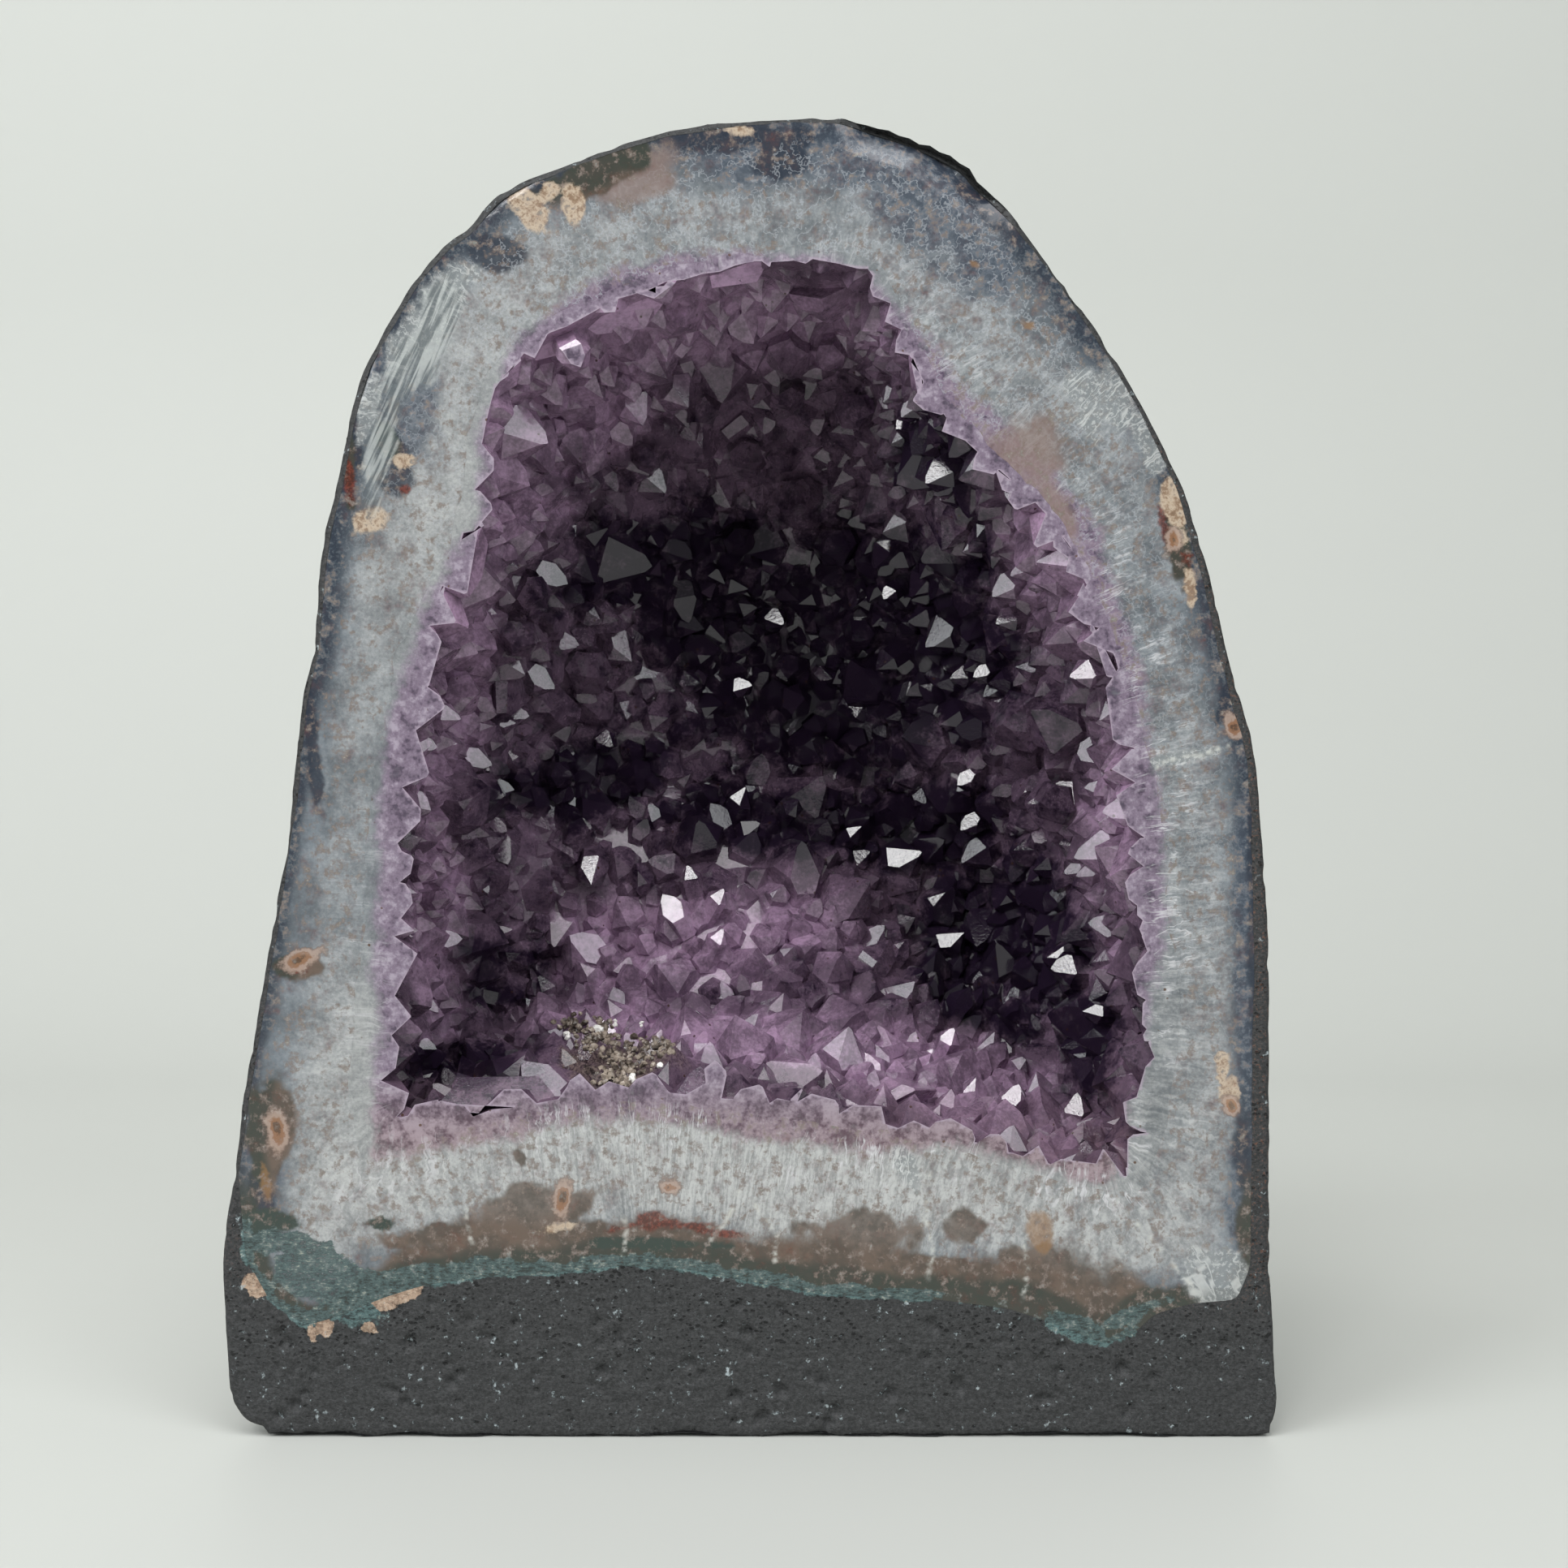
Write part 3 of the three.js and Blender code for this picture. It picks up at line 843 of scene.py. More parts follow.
def dress_face(bm, rim):
    """Sinks the worn edge and the gas pits into the filled face."""
    flat = [v for v in bm.verts if v.co.y < FACE_Y + FLATNESS]
    places = np.array([(v.co.x, v.co.z) for v in flat])
    to_edge, _ = nearest(rim, places)
    back = worn_back(places[:, 0], places[:, 1], to_edge)
    to_seam, _ = nearest(border_points(SEAM_LINE), places)
    random = np.random.default_rng(19)
    tree = tree_of([(x, z, 0) for x, z in places])
    base = places[(places[:, 1] < BASE_TOP) & (to_seam > 2.5 * MM) & (to_edge > 2 * MM)]
    pit = np.zeros(len(places))
    for centre in base[random.integers(0, len(base), FACE_PITS)]:
        size = PIT_RADIUS[0] + (PIT_RADIUS[1] - PIT_RADIUS[0]) * random.random() ** 3
        size = max(size, SMALLEST_PIT)
        for _, i, far in tree.find_range((centre[0], centre[1], 0), 1.3 * size):
            pit[i] = max(pit[i], 0.75 * size * max(1 - (far / (1.15 * size)) ** 2, 0))
    grain = 0.05 * MM * cloud(places, 2.4 * MM, 3, 61)
    for vert, depth, hole, rough in zip(flat, back, pit, grain):
        vert.co.y = FACE_Y + max(depth + hole + rough * (1 if hole == 0 else 0), 0)


# The seam as it runs on the finished face, with small irregularities, and inside the face's edge
SEAM_WAVES = 0.28 * MM * round_noise(5 * MM, 3) + 0.25 * MM * round_noise(18 * MM, 5)
SEAM_LINE = np.minimum(SEAM_EDGE + SEAM_WAVES, FACE_EDGE - 0.7 * MM)


def rock_masks(mesh):
    co = positions(mesh)
    on_front = np.where(co[:, 1] < FACE_Y + 4 * MM, 1.0, 0.0)
    x, z = co[:, 0], co[:, 2]
    to_seam, _ = nearest(border_points(SEAM_LINE), co[:, [0, 2]])
    strip = 1 - ramp(to_seam + 0.9 * MM * cloud(co, 5 * MM, 3, 303), 0.1 * MM, 0.9 * MM)
    green = np.maximum(spots(x, z, GREEN_SPOTS, 0.6, 1), strip * green_share(x, z)) * on_front
    set_mask(mesh, "green", green)
    set_mask(mesh, "cream", spots(x, z, CREAM_SPOTS, 0.7, 2) * on_front)
    set_mask(mesh, "blue_white", spots(x, z, BLUE_WHITE_SPOTS, 0.7, 3) * on_front)
    set_mask(mesh, "front", on_front)
    height = z + 5 * MM * cloud(co, 12 * MM, 3, 309)
    set_mask(mesh, "pitted", 0.25 + 0.75 * ramp(height, 9 * MM, 19 * MM))
    beside = ramp(np.abs(x), 60 * MM, 92 * MM) * ramp(z, 20 * MM, 34 * MM)
    set_mask(mesh, "rusty", np.where(x > 0, beside, 0.3 * beside) * on_front)


# Colours of the marks on the rock
MINERAL_DARK, MINERAL_PALE = (0.016, 0.024, 0.024), (0.3, 0.315, 0.26)
BROWN_STAIN = (0.11, 0.085, 0.06)
RUST_STAIN = (0.12, 0.055, 0.035)
# Painted shadow: the shader's small pits are coloured near-black for the shade inside them
PIT_SHADOW_BLACK = (0.003, 0.003, 0.0035)
GREY_FLECK = (0.2, 0.2, 0.19)
CREAM_DARK, CREAM_CRUMBS = (0.2, 0.13, 0.09), (0.5, 0.42, 0.33)
BLUE_WHITE = (0.36, 0.42, 0.45)


def green_share(x, z):
    """How much of the seam's strip is green at each place along the bottom."""
    low = 1 - ramp(z, 38 * MM, 44 * MM)
    return low * np.interp(face_to_column(x), *zip(*GREEN_STRIP))


def green_earth(s, base, ragged, earth):
    """The streaky blue-green mineral that grew along the seam."""
    streaky = s.noise(0.8 * MM, 3, 0.75, s.squeezed(0.55, 1, 1.6))
    tone = s.plus(s.times(streaky, 0.65), s.times(ragged, 0.35))
    mineral = s.mix(s.step(tone, 0.38, 0.54), MINERAL_DARK, earth)
    mineral = s.mix(s.step(tone, 0.54, 0.68), mineral, MINERAL_PALE)
    cover = s.frayed(s.mask("green"), ragged, 2.2, 0.2)
    return s.mix(s.times(cover, s.step(streaky, 0.3, 0.45, 0.35, 0.95)), base, mineral)


def basalt_material(settings):
    s = Surface("Basalt")
    rock, dust = tuple(settings.rock), tuple(settings.dust)
    long_way = s.squeezed(1, 1, 1.5)
    grain = s.noise(0.6 * MM, 3, 0.75)
    ragged = s.noise(1.6 * MM, 3, 0.65)
    relief = s.noise(3.4 * MM, 4, 0.62, long_way)
    patches = s.noise(14 * MM, 3, 0.6)
    front = s.mask("front")
    sawn = s.mix(s.step(grain, 0.34, 0.68), shade(rock, 0.6), shade(rock, 1.4))
    weathered = s.mix(s.step(patches, 0.42, 0.7), sawn, dust)
    weathered = s.mix(s.step(relief, 0.55, 0.75, 0, 0.5), weathered, BROWN_STAIN)
    colour = s.mix(front, weathered, sawn)
    fine_pits = s.math("SUBTRACT", s.cells(1.3 * MM, stretch=long_way), s.times(relief, 1.5))
    wide_pits = s.math("SUBTRACT", s.cells(3.1 * MM, stretch=long_way), s.times(ragged, 0.75))
    small = s.times(s.step(fine_pits, -0.62, -0.56, 1, 0), s.mask("pitted"))
    pits = s.math("MAXIMUM", small, s.step(wide_pits, -0.3, -0.26, 1, 0))
    # Painted shadow: the pits are coloured near-black
    colour = s.mix(s.times(pits, 0.95), colour, PIT_SHADOW_BLACK)
    fleck = s.times(s.step(ragged, 0.73, 0.78), front)
    colour = s.mix(s.times(fleck, 0.35), colour, GREY_FLECK)
    rusty = s.times(s.mask("rusty"), s.step(grain, 0.55, 0.66, 0, 0.8))
    colour = s.mix(rusty, colour, RUST_STAIN)
    colour = green_earth(s, colour, ragged, tuple(settings.green_earth))
    creamy = s.mix(s.step(ragged, 0.36, 0.6), CREAM_DARK, tuple(settings.cream))
    creamy = s.mix(s.step(grain, 0.52, 0.7, 0, 0.6), creamy, CREAM_CRUMBS)
    colour = s.patch(colour, "cream", ragged, 2.0, 0.15, creamy)
    colour = s.patch(colour, "blue_white", ragged, 2.4, 0.2, BLUE_WHITE)
    s.link(colour, s.shader.inputs["Base Color"])
    s.link(s.step(front, 0, 1, 0.93, 0.6), s.shader.inputs["Roughness"])
    s.shader.inputs["Specular IOR Level"].default_value = 0.4
    s.bump([(relief, 0.6 * MM), (s.math("SUBTRACT", s.times(grain, 0.5), pits), 0.25 * MM)])
    return s.material


# The agate and quartz band

NAVY_SPOTS = [
    (657, 232, 15, 11, 0.3), (609, 308, 38, 24, 0), (965, 196, 34, 26, 0),
    (1550, 1300, 9, 240, 0.03), (860, 168, 60, 9, 0.1), (1130, 172, 60, 10, -0.35),
    (1520, 830, 8, 70, -0.3), (1545, 1010, 8, 80, -0.05), (480, 560, 26, 52, 0.2),
    (380, 880, 10, 120, 0.12), (322, 1480, 16, 40, 0.1), (1225, 262, 14, 70, 0.85),
    (985, 168, 22, 16, 0), (440, 540, 8, 40, 0.1), (1530, 1420, 14, 50, 0.05),
    (900, 172, 70, 16, 0.1),
]
DIM_SPOTS = [
    (940, 192, 110, 40, 0), (1150, 262, 90, 58, -0.75), (1060, 200, 80, 34, -0.2),
    (1215, 330, 50, 40, -0.8), (500, 500, 40, 70, 0.3), (1535, 1180, 14, 200, 0.02),
    (1525, 1480, 16, 60, 0.05), (330, 1440, 22, 60, 0.1),
]
# Where saw marks are left: column, row, half sizes, turn
SAWN_SPOTS = [(512, 440, 26, 90, -0.45), (466, 560, 18, 60, -0.15), (540, 380, 22, 40, -0.5)]
SAWN_TILT = 0.42  # how far the saw marks lean from upright, in radians
CREAM_PATCHES = [
    (650, 258, 20, 38, 0.6), (676, 236, 14, 12, 0.3), (706, 250, 14, 26, 0.2), (912, 160, 20, 7, 0),
    (499, 567, 13, 10, 0), (456, 642, 24, 19, 0.3), (1446, 622, 13, 34, 0.25),
    (1466, 721, 7, 22, 0.1), (1514, 1346, 14, 22, 0.2), (1506, 1318, 8, 24, -0.1),
    (690, 1512, 26, 5, 0.15), (1455, 664, 8, 10, 0),
]
BROWN_SPOTS = [
    (655, 1490, 80, 26, 0.1), (600, 1520, 130, 18, 0.05), (1120, 1560, 100, 14, -0.05),
    (1300, 1575, 70, 34, -0.4), (428, 566, 9, 50, 0.1), (1060, 1520, 70, 30, 0),
    (1446, 650, 14, 60, 0.2), (367, 1189, 30, 20, 0), (336, 1400, 30, 66, 0.1), (740, 212, 70, 24, 0.4),
    (640, 1425, 7, 13, 0.4), (1190, 1512, 26, 22, 0),
]
RUST_SPOTS = [
    (800, 1504, 20, 11, 0.3), (840, 1509, 44, 5, -0.12), (890, 1520, 30, 4, -0.1), (499, 603, 8, 7, 0),
    (369, 1195, 14, 6, 0.1), (770, 1512, 26, 4, 0.25),
    (1432, 640, 5, 24, 0.2), (1462, 690, 6, 8, 0), (430, 590, 6, 24, 0.1),
]
AMBER_SPOTS = [
    (327, 1455, 5, 26, 0.15), (1281, 1515, 15, 24, 0.1), (1200, 325, 6, 5, 0), (1268, 400, 7, 6, 0),
]
WHITE_SPOTS = [
    (1360, 493, 46, 40, -0.4), (1500, 1572, 40, 34, 0.2), (1453, 934, 44, 7, 0.2),
    (1118, 1440, 12, 28, 0.45), (548, 372, 26, 54, -0.5), (1420, 540, 20, 46, 0.5),
    (505, 420, 22, 60, -0.45), (455, 500, 12, 40, -0.3),
]
GREEN_PATCHES = [
    (465, 1508, 20, 9, 0), (330, 1505, 44, 14, 0), (480, 545, 12, 26, 0.3), (800, 1533, 90, 7, -0.02),
]
PEACH_SPOTS = [(1262, 556, 46, 42, 0.2), (790, 215, 56, 28, 0.3), (1300, 640, 22, 44, 0.3)]
# Ringed agate eyes and their dark or brown middles: column, row, half width, half height, turn
EYES = [
    (693, 1476, 15, 32, -0.1), (342, 1393, 19, 32, 0.15), (826, 1463, 16, 13, 0),
    (372, 1182, 30, 16, 0.3), (1516, 1362, 14, 16, 0.2), (1520, 896, 15, 20, 0.1),
    (1446, 664, 12, 20, 0.1),
]
CRACKS = [
    [(573, 1490), (576, 1512), (582, 1535)], [(765, 1490), (772, 1515), (768, 1545)],
    [(1146, 1440), (1140, 1500), (1150, 1540), (1144, 1574)], [(1260, 1527), (1266, 1560), (1260, 1602)],
    [(1419, 948), (1440, 936), (1480, 930), (1516, 918)], [(868, 1535), (895, 1505), (912, 1466)],
    [(1376, 1480), (1440, 1550), (1480, 1600)], [(925, 1480), (958, 1520), (954, 1560)],
]
CRACK_WIDTH = 0.22 * MM
# The masks that are painted from spots: the spots, how ragged their edge is, its seed and how soft it is
BAND_SPOTS = {
    "dim": (DIM_SPOTS, 0.5, 14, 0.5),
    "sawn": (SAWN_SPOTS, 0.5, 15, 0.5),
    "navy": (NAVY_SPOTS, 0.5, 4, 0.25),
    "cream": (CREAM_PATCHES, 0.5, 5, 0.25),
    "rust": (RUST_SPOTS, 0.6, 6, 0.25),
    "amber": (AMBER_SPOTS, 0.6, 16, 0.25),
    "white": (WHITE_SPOTS, 0.6, 7, 0.25),
    "dark_green": (GREEN_PATCHES, 0.6, 8, 0.25),
    "peach": (PEACH_SPOTS, 0.5, 9, 0.5),
}
# How far in from the rock the brown layers reach, in millimetres, by pixel column
BROWN_BAND = [
    (300, 4), (420, 5), (470, 8), (540, 11), (600, 14), (690, 13), (750, 9), (820, 12), (900, 9),
    (960, 12), (1050, 13), (1130, 12), (1150, 8), (1240, 11), (1310, 17), (1376, 15), (1420, 5),
    (1500, 3),
]
RIM_SKIN = 1.0 * MM  # how far the quartz stands proud of the crust's bed at the face
WALL_SKIN = 0.6 * MM  # and inside the hollow


def skin_line():
    """The band's inner border on the face, with the teeth of the crystals that grew on it."""
    teeth = 1.1 * MM * round_noise(5 * MM, 11, 3) + 1.4 * MM * round_noise(17 * MM, 12)
    return BED_REACH + np.minimum(teeth - RIM_SKIN, -0.4 * MM)


SKIN_LINE = skin_line()


def band_mesh(settings):
    bm = open_front("agate_quartz_band")
    outer = joined_to(farthest_out(boundary_verts(bm)))
    tag = bm.faces.layers.int.new("outer")
    for face in bm.faces:
        face[tag] = int(face.verts[0] in outer)
    halve_edges(bm, lambda f: f[tag] == 0, BAND_WALL_EDGE)
    split_long_edges(bm, [e for e in bm.edges if e.is_boundary], BAND_RIM_EDGE)
    bmesh.ops.triangulate(bm, faces=[f for f in bm.faces if len(f.verts) > 3])
    outer = joined_to(farthest_out(boundary_verts(bm)))
    bm.normal_update()
    for vert in (v for v in bm.verts if on_face(v)):
        put_on(vert, SEAM_LINE + SEAM_OVERLAP if vert in outer else SKIN_LINE)
    wall = [v for v in bm.verts if v not in outer and not on_face(v)]
    co = np.array([v.co for v in wall])
    normal = np.array([v.normal for v in wall])
    rise = WALL_SKIN * (1 + 0.6 * cloud(co, 8 * MM, 3, 401))
    for vert, place in zip(wall, co + normal * rise[:, None]):
        vert.co = place
        vert.co.y = max(vert.co.y, FACE_Y + 0.2 * MM)
    plane = FACE_Y + BAND_RECESS
    for vert in boundary_verts(bm):
        vert.co.y = plane
    fill_face(bm, settings.pitch, face_side(SKIN_LINE, SEAM_LINE + SEAM_OVERLAP), plane, 6)
    rock = border_points(ROCK_REACH)
    flat = [v for v in bm.verts if abs(v.co.y - plane) < FLATNESS]
    places = np.array([(v.co.x, v.co.z) for v in flat])
    back = worn_back(places[:, 0], places[:, 1], nearest(rock, places)[0])
    for vert, depth in zip(flat, back):
        vert.co.y += depth
    return finished_mesh(bm, "agate_band", BAND_CREASE)


FIBRE_SHORTENING = 0.14  # across the fibres a noise changes as usual, along them by this share


def fibre_vector(mesh, border, angles, points, across):
    """Coordinates that run along a border and, far more slowly, away from it."""
    _, index = nearest(border, points)
    turn = angles[index]
    around = NOISE_RADIUS * np.column_stack([np.cos(turn), np.sin(turn)])
    vector = np.column_stack([around[:, 0], across * FIBRE_SHORTENING, around[:, 1]])
    attribute = mesh.attributes.get("fibre") or mesh.attributes.new("fibre", "FLOAT_VECTOR", "POINT")
    attribute.data.foreach_set("vector", np.ascontiguousarray(vector, dtype=np.float32).ravel())


def crack_mask(x, z):
    total = np.zeros(len(x))
    for line in CRACKS:
        spine = np.array([(face_x(c), face_z(r)) for c, r in line])
        steps = np.linspace(0, 1, 30)[:, None]
        dense = np.concatenate([a + (b - a) * steps for a, b in zip(spine, spine[1:])])
        far = np.min(np.hypot(x[:, None] - dense[:, 0], z[:, None] - dense[:, 1]), axis=1)
        total = np.maximum(total, 1 - ramp(far, 0.2 * CRACK_WIDTH, 1.6 * CRACK_WIDTH))
    return total


# How milky the quartz gets in each direction from the middle, by degrees from the right
MILKINESS = [
    (-180, 0.39), (-160, 0.34), (-145, 0.7), (-120, 0.85), (-100, 1), (-80, 0.97), (-60, 0.85),
    (-45, 0.6), (-20, 0.45), (0, 0.43), (20, 0.28), (40, 0.42), (60, 0.45), (80, 0.4), (100, 0.45),
    (120, 0.62), (140, 0.75), (160, 0.55), (180, 0.39),
]
# How far in from the rock it is milkiest, and where it starts to turn mauve, in millimetres
MILK_DEPTH = [
    (-180, 8), (-160, 10), (-140, 16), (-120, 18), (-100, 16), (-80, 16), (-60, 19), (-40, 7), (-20, 8),
    (0, 9), (20, 8), (40, 5), (60, 15), (80, 19), (100, 14), (120, 13), (140, 15), (160, 9), (180, 8),
]
MAUVE_DEPTH = [
    (-180, 12.5), (-160, 14.5), (-150, 16), (-140, 20), (-130, 22), (-120, 25), (-100, 24), (-80, 24),
    (-60, 26), (-40, 19), (-20, 13), (0, 13.5), (20, 12.5), (40, 15), (60, 22), (80, 24), (100, 19),
    (120, 18), (140, 24), (155, 16), (165, 13), (180, 12.5),
]
MAUVE_FADE = 6 * MM
# How clearly fibres run away from the hollow, and how finely crackled the quartz is
RADIATING = [
    (-180, 0.1), (-140, 0.5), (-110, 1), (-40, 1), (0, 1), (45, 0.7), (90, 0.3), (150, 0.1), (180, 0.1),
]
CRINKLED = [
    (-180, 0.1), (-60, 0.1), (-30, 0.5), (20, 0.7), (60, 1), (110, 1), (140, 0.6), (165, 0.2),
    (180, 0.1),
]
# How far in from the rock the agate is dark, in millimetres
DARK_WIDTH = [
    (-180, 4), (-140, 3), (-110, 2), (-50, 2), (-30, 6), (0, 7), (30, 6), (45, 5), (60, 9), (100, 11),
    (115, 7), (135, 6), (160, 7), (180, 4),
]


def by_direction(turn, table):
    degrees, values = np.array(table, float).T
    return np.interp(np.degrees(turn), degrees, values)


LAYERS_DEPTH = 20 * MM  # the depth at which the mask of the brown layers reaches 1


def quartz_masks(mesh, places, front):
    """The masks that the band and the cut crystals share; returns the distance from the rock's seam."""
    to_seam, _ = nearest(border_points(SEAM_LINE), places)
    bed = border_points(evened(SKIN_LINE, 3))
    to_bed, _ = nearest(bed, places)
    turn = direction(places[:, 0], places[:, 1])
    shake = cloud(places, 9 * MM, 4, 501)
    depth = to_seam + 1.8 * MM * shake
    peak = by_direction(turn, MILK_DEPTH) * MM
    mauve = by_direction(turn, MAUVE_DEPTH) * MM
    grain = by_direction(turn, RADIATING) * front
    set_mask(mesh, "milk", ramp(depth, 0.05 * peak, peak) * by_direction(turn, MILKINESS))
    set_mask(mesh, "lavender", np.where(front > 0, ramp(depth, mauve, mauve + MAUVE_FADE), 1.0))
    set_mask(mesh, "radiating", grain * ramp(to_seam, 3 * MM, 8 * MM))
    set_mask(mesh, "crinkled", by_direction(turn, CRINKLED) * ramp(to_seam, 1 * MM, 6 * MM) * front)
    veined = ramp(depth, mauve - 8 * MM, mauve) * (1 - ramp(depth, mauve + 4 * MM, mauve + 9 * MM))
    set_mask(mesh, "veins", grain * veined)
    set_mask(mesh, "pinkish", (1 - ramp(places[:, 1], 52 * MM, 72 * MM)) * front)
    fibre_vector(mesh, bed, ANGLES, places, to_bed)
    return to_seam


def band_masks(mesh):
    co = positions(mesh)
    places = co[:, [0, 2]]
    x, z = co[:, 0], co[:, 2]
    front = np.where(co[:, 1] < FACE_Y + 5 * MM, 1.0, 0.0)
    to_seam = quartz_masks(mesh, places, front)
    turn = direction(x, z)
    bottom = 1 - ramp(z, 40 * MM, 56 * MM)
    brown_width = np.interp(face_to_column(x), *zip(*BROWN_BAND)) * MM
    uneven = to_seam + 1.6 * MM * cloud(places, 5 * MM, 3, 511)
    brown = 1 - ramp(uneven, 0.55 * brown_width, 1.15 * brown_width)
    strip = 1 - ramp(to_seam + 1.6 * MM * cloud(places, 4 * MM, 3, 303), 1.2 * MM, 2.2 * MM)
    dark_width = by_direction(turn, DARK_WIDTH) * MM * (1 + 0.5 * cloud(places, 9 * MM, 4, 501))
    set_mask(mesh, "brown", np.maximum(brown * bottom, spots(x, z, BROWN_SPOTS, 0.6, 3)) * front)
    set_mask(mesh, "layers", uneven / LAYERS_DEPTH)
    for name, (marks, ragged, seed, soft) in BAND_SPOTS.items():
        set_mask(mesh, name, spots(x, z, marks, ragged, seed, soft) * front)
    green = spots(x, z, GREEN_SPOTS, 0.6, 1)
    set_mask(mesh, "green", np.maximum(green, strip * green_share(x, z)) * front)
    set_mask(mesh, "eye", eyes(x, z) * front)
    set_mask(mesh, "crack", crack_mask(x, z) * front)
    set_mask(mesh, "rind", (1 - ramp(to_seam, 0.1 * dark_width, dark_width)) * front)
    set_mask(mesh, "wall", 1 - front)


def eyes(x, z):
    """How near each place is to the middle of a ringed eye, 0 at its edge and 1 in the middle."""
    shake = 0.3 * cloud(np.column_stack([x, z]), 3 * MM, 3, 77)
    total = np.zeros(len(x))
    for column, row, wide, high, turn in EYES:
        off = np.hypot(*turned_offset(x, z, column, row, wide, high, turn))
        total = np.maximum(total, np.clip(1 - off - shake, 0, 1))
    return total


def face_to_column(x):
    return (np.asarray(x) + PART_SHIFT) / PHOTO_SCALE + PHOTO_MIDDLE


class Grain:
    """The noises that the band and the cut crystals share, so that one runs into the other."""

    def __init__(self, s):
        self.fibre = s.node("ShaderNodeAttribute", attribute_name="fibre").outputs["Vector"]
        self.streaks = s.noise(0.9 * MM, 3, 0.65, self.fibre, 0.6)
        self.mottle = s.noise(6 * MM, 5, 0.66)
        self.coarse = s.noise(3.4 * MM, 3, 0.68)
        self.ragged = s.noise(1.6 * MM, 3, 0.65)
        self.fine = s.noise(0.7 * MM, 3, 0.7)
        self.needles = s.ridge(s.noise(2.6 * MM, 3, 0.6, self.fibre, 1.2), 0.035)


# Colours of the band, from dark to pale where there are several
MAUVE_TONES = ((0.075, 0.052, 0.085), (0.205, 0.155, 0.215), (0.37, 0.315, 0.385))
PINK_TONES = ((0.1, 0.055, 0.07), (0.34, 0.26, 0.285))
QUARTZ_FLECK = (0.42, 0.44, 0.45)
VEIN_WHITE = (0.6, 0.59, 0.61)
SMOKY_AGATE = (0.085, 0.105, 0.125)
DUSKY_TONES = ((0.038, 0.05, 0.072), (0.13, 0.155, 0.19))
CRACKLE = (0.4, 0.42, 0.45)
PEACH = (0.22, 0.155, 0.135)
LAYER_GREEN, LAYER_PALE = (0.036, 0.042, 0.033), (0.15, 0.125, 0.11)
LAYER_DARK, LAYER_CRUMBS = (0.05, 0.044, 0.036), (0.16, 0.125, 0.11)
DARK_GREEN = (0.03, 0.045, 0.037)
BAND_GREEN = (0.062, 0.1, 0.1)
BLOTCH_DARK = (0.26, 0.17, 0.11)
AMBER = (0.27, 0.14, 0.05)
# The rings of an eye, from its edge to its middle
EYE_RINGS = ((0.15, 0.1, 0.08), (0.36, 0.26, 0.21), (0.26, 0.13, 0.07), (0.1, 0.05, 0.025))
FROST_TONES = ((0.22, 0.235, 0.24), (0.54, 0.55, 0.54))
SCRAPED_TONES = ((0.11, 0.125, 0.13), (0.42, 0.44, 0.43))
CRACK_FILL = (0.55, 0.55, 0.51)
WALL_MAUVE = (0.2, 0.14, 0.21)  # behind the crystals, where it hardly shows
QUARTZ_IOR = 1.54


def mauve_quartz(s, grain):
    """The mottled mauve quartz of the cut crystals."""
    tone = s.plus(s.times(grain.coarse, 0.8), s.times(grain.ragged, 0.55))
    tone = s.plus(tone, s.times(grain.fine, 0.35))
    mauve = s.mix(s.step(tone, 0.66, 0.86), *MAUVE_TONES[:2])
    mauve = s.mix(s.step(tone, 0.84, 1.06), mauve, MAUVE_TONES[2])
    pink = s.mix(s.step(tone, 0.68, 0.98), *PINK_TONES)
    return s.mix(s.mask("pinkish"), mauve, pink)


def quartz_colour(s, settings, grain):
    """Dim agate that turns milky and then mauve on its way in from the rock."""
    milk, agate = tuple(settings.milk), tuple(settings.agate)
    mottle, fine = grain.mottle, grain.fine
    soft = s.centred(mottle)
    grainy = s.centred(fine)
    feather = s.times(s.centred(grain.streaks), s.mask("radiating"))
    dim = s.mix(s.step(mottle, 0.34, 0.66), shade(agate, 0.62), shade(agate, 1.15))
    whiter = s.plus(s.plus(feather, s.times(grainy, 0.5)), 0.5)
    snow = s.mix(s.step(whiter, 0.3, 0.68), shade(milk, 0.6), milk)
    milkiness = s.plus(s.mask("milk"), s.times(feather, 0.6))
    milkiness = s.plus(milkiness, s.plus(s.times(soft, 0.9), s.times(grainy, 0.3)))
    colour = s.mix(s.step(milkiness, 0.0, 1.05), dim, snow)
    flecks = s.times(s.step(fine, 0.6, 0.72, 0, 0.35), s.step(grain.ragged, 0.42, 0.6))
    colour = s.mix(flecks, colour, QUARTZ_FLECK)
    purple = s.plus(s.mask("lavender"), s.times(s.centred(grain.coarse), 1.2))
    purple = s.plus(purple, s.times(feather, 0.7))
    colour = s.mix(s.step(purple, 0.15, 0.9), colour, mauve_quartz(s, grain))
    lines = s.times(grain.needles, s.step(mottle, 0.44, 0.58))
    return s.mix(s.times(lines, s.times(s.mask("veins"), 0.8)), colour, VEIN_WHITE)


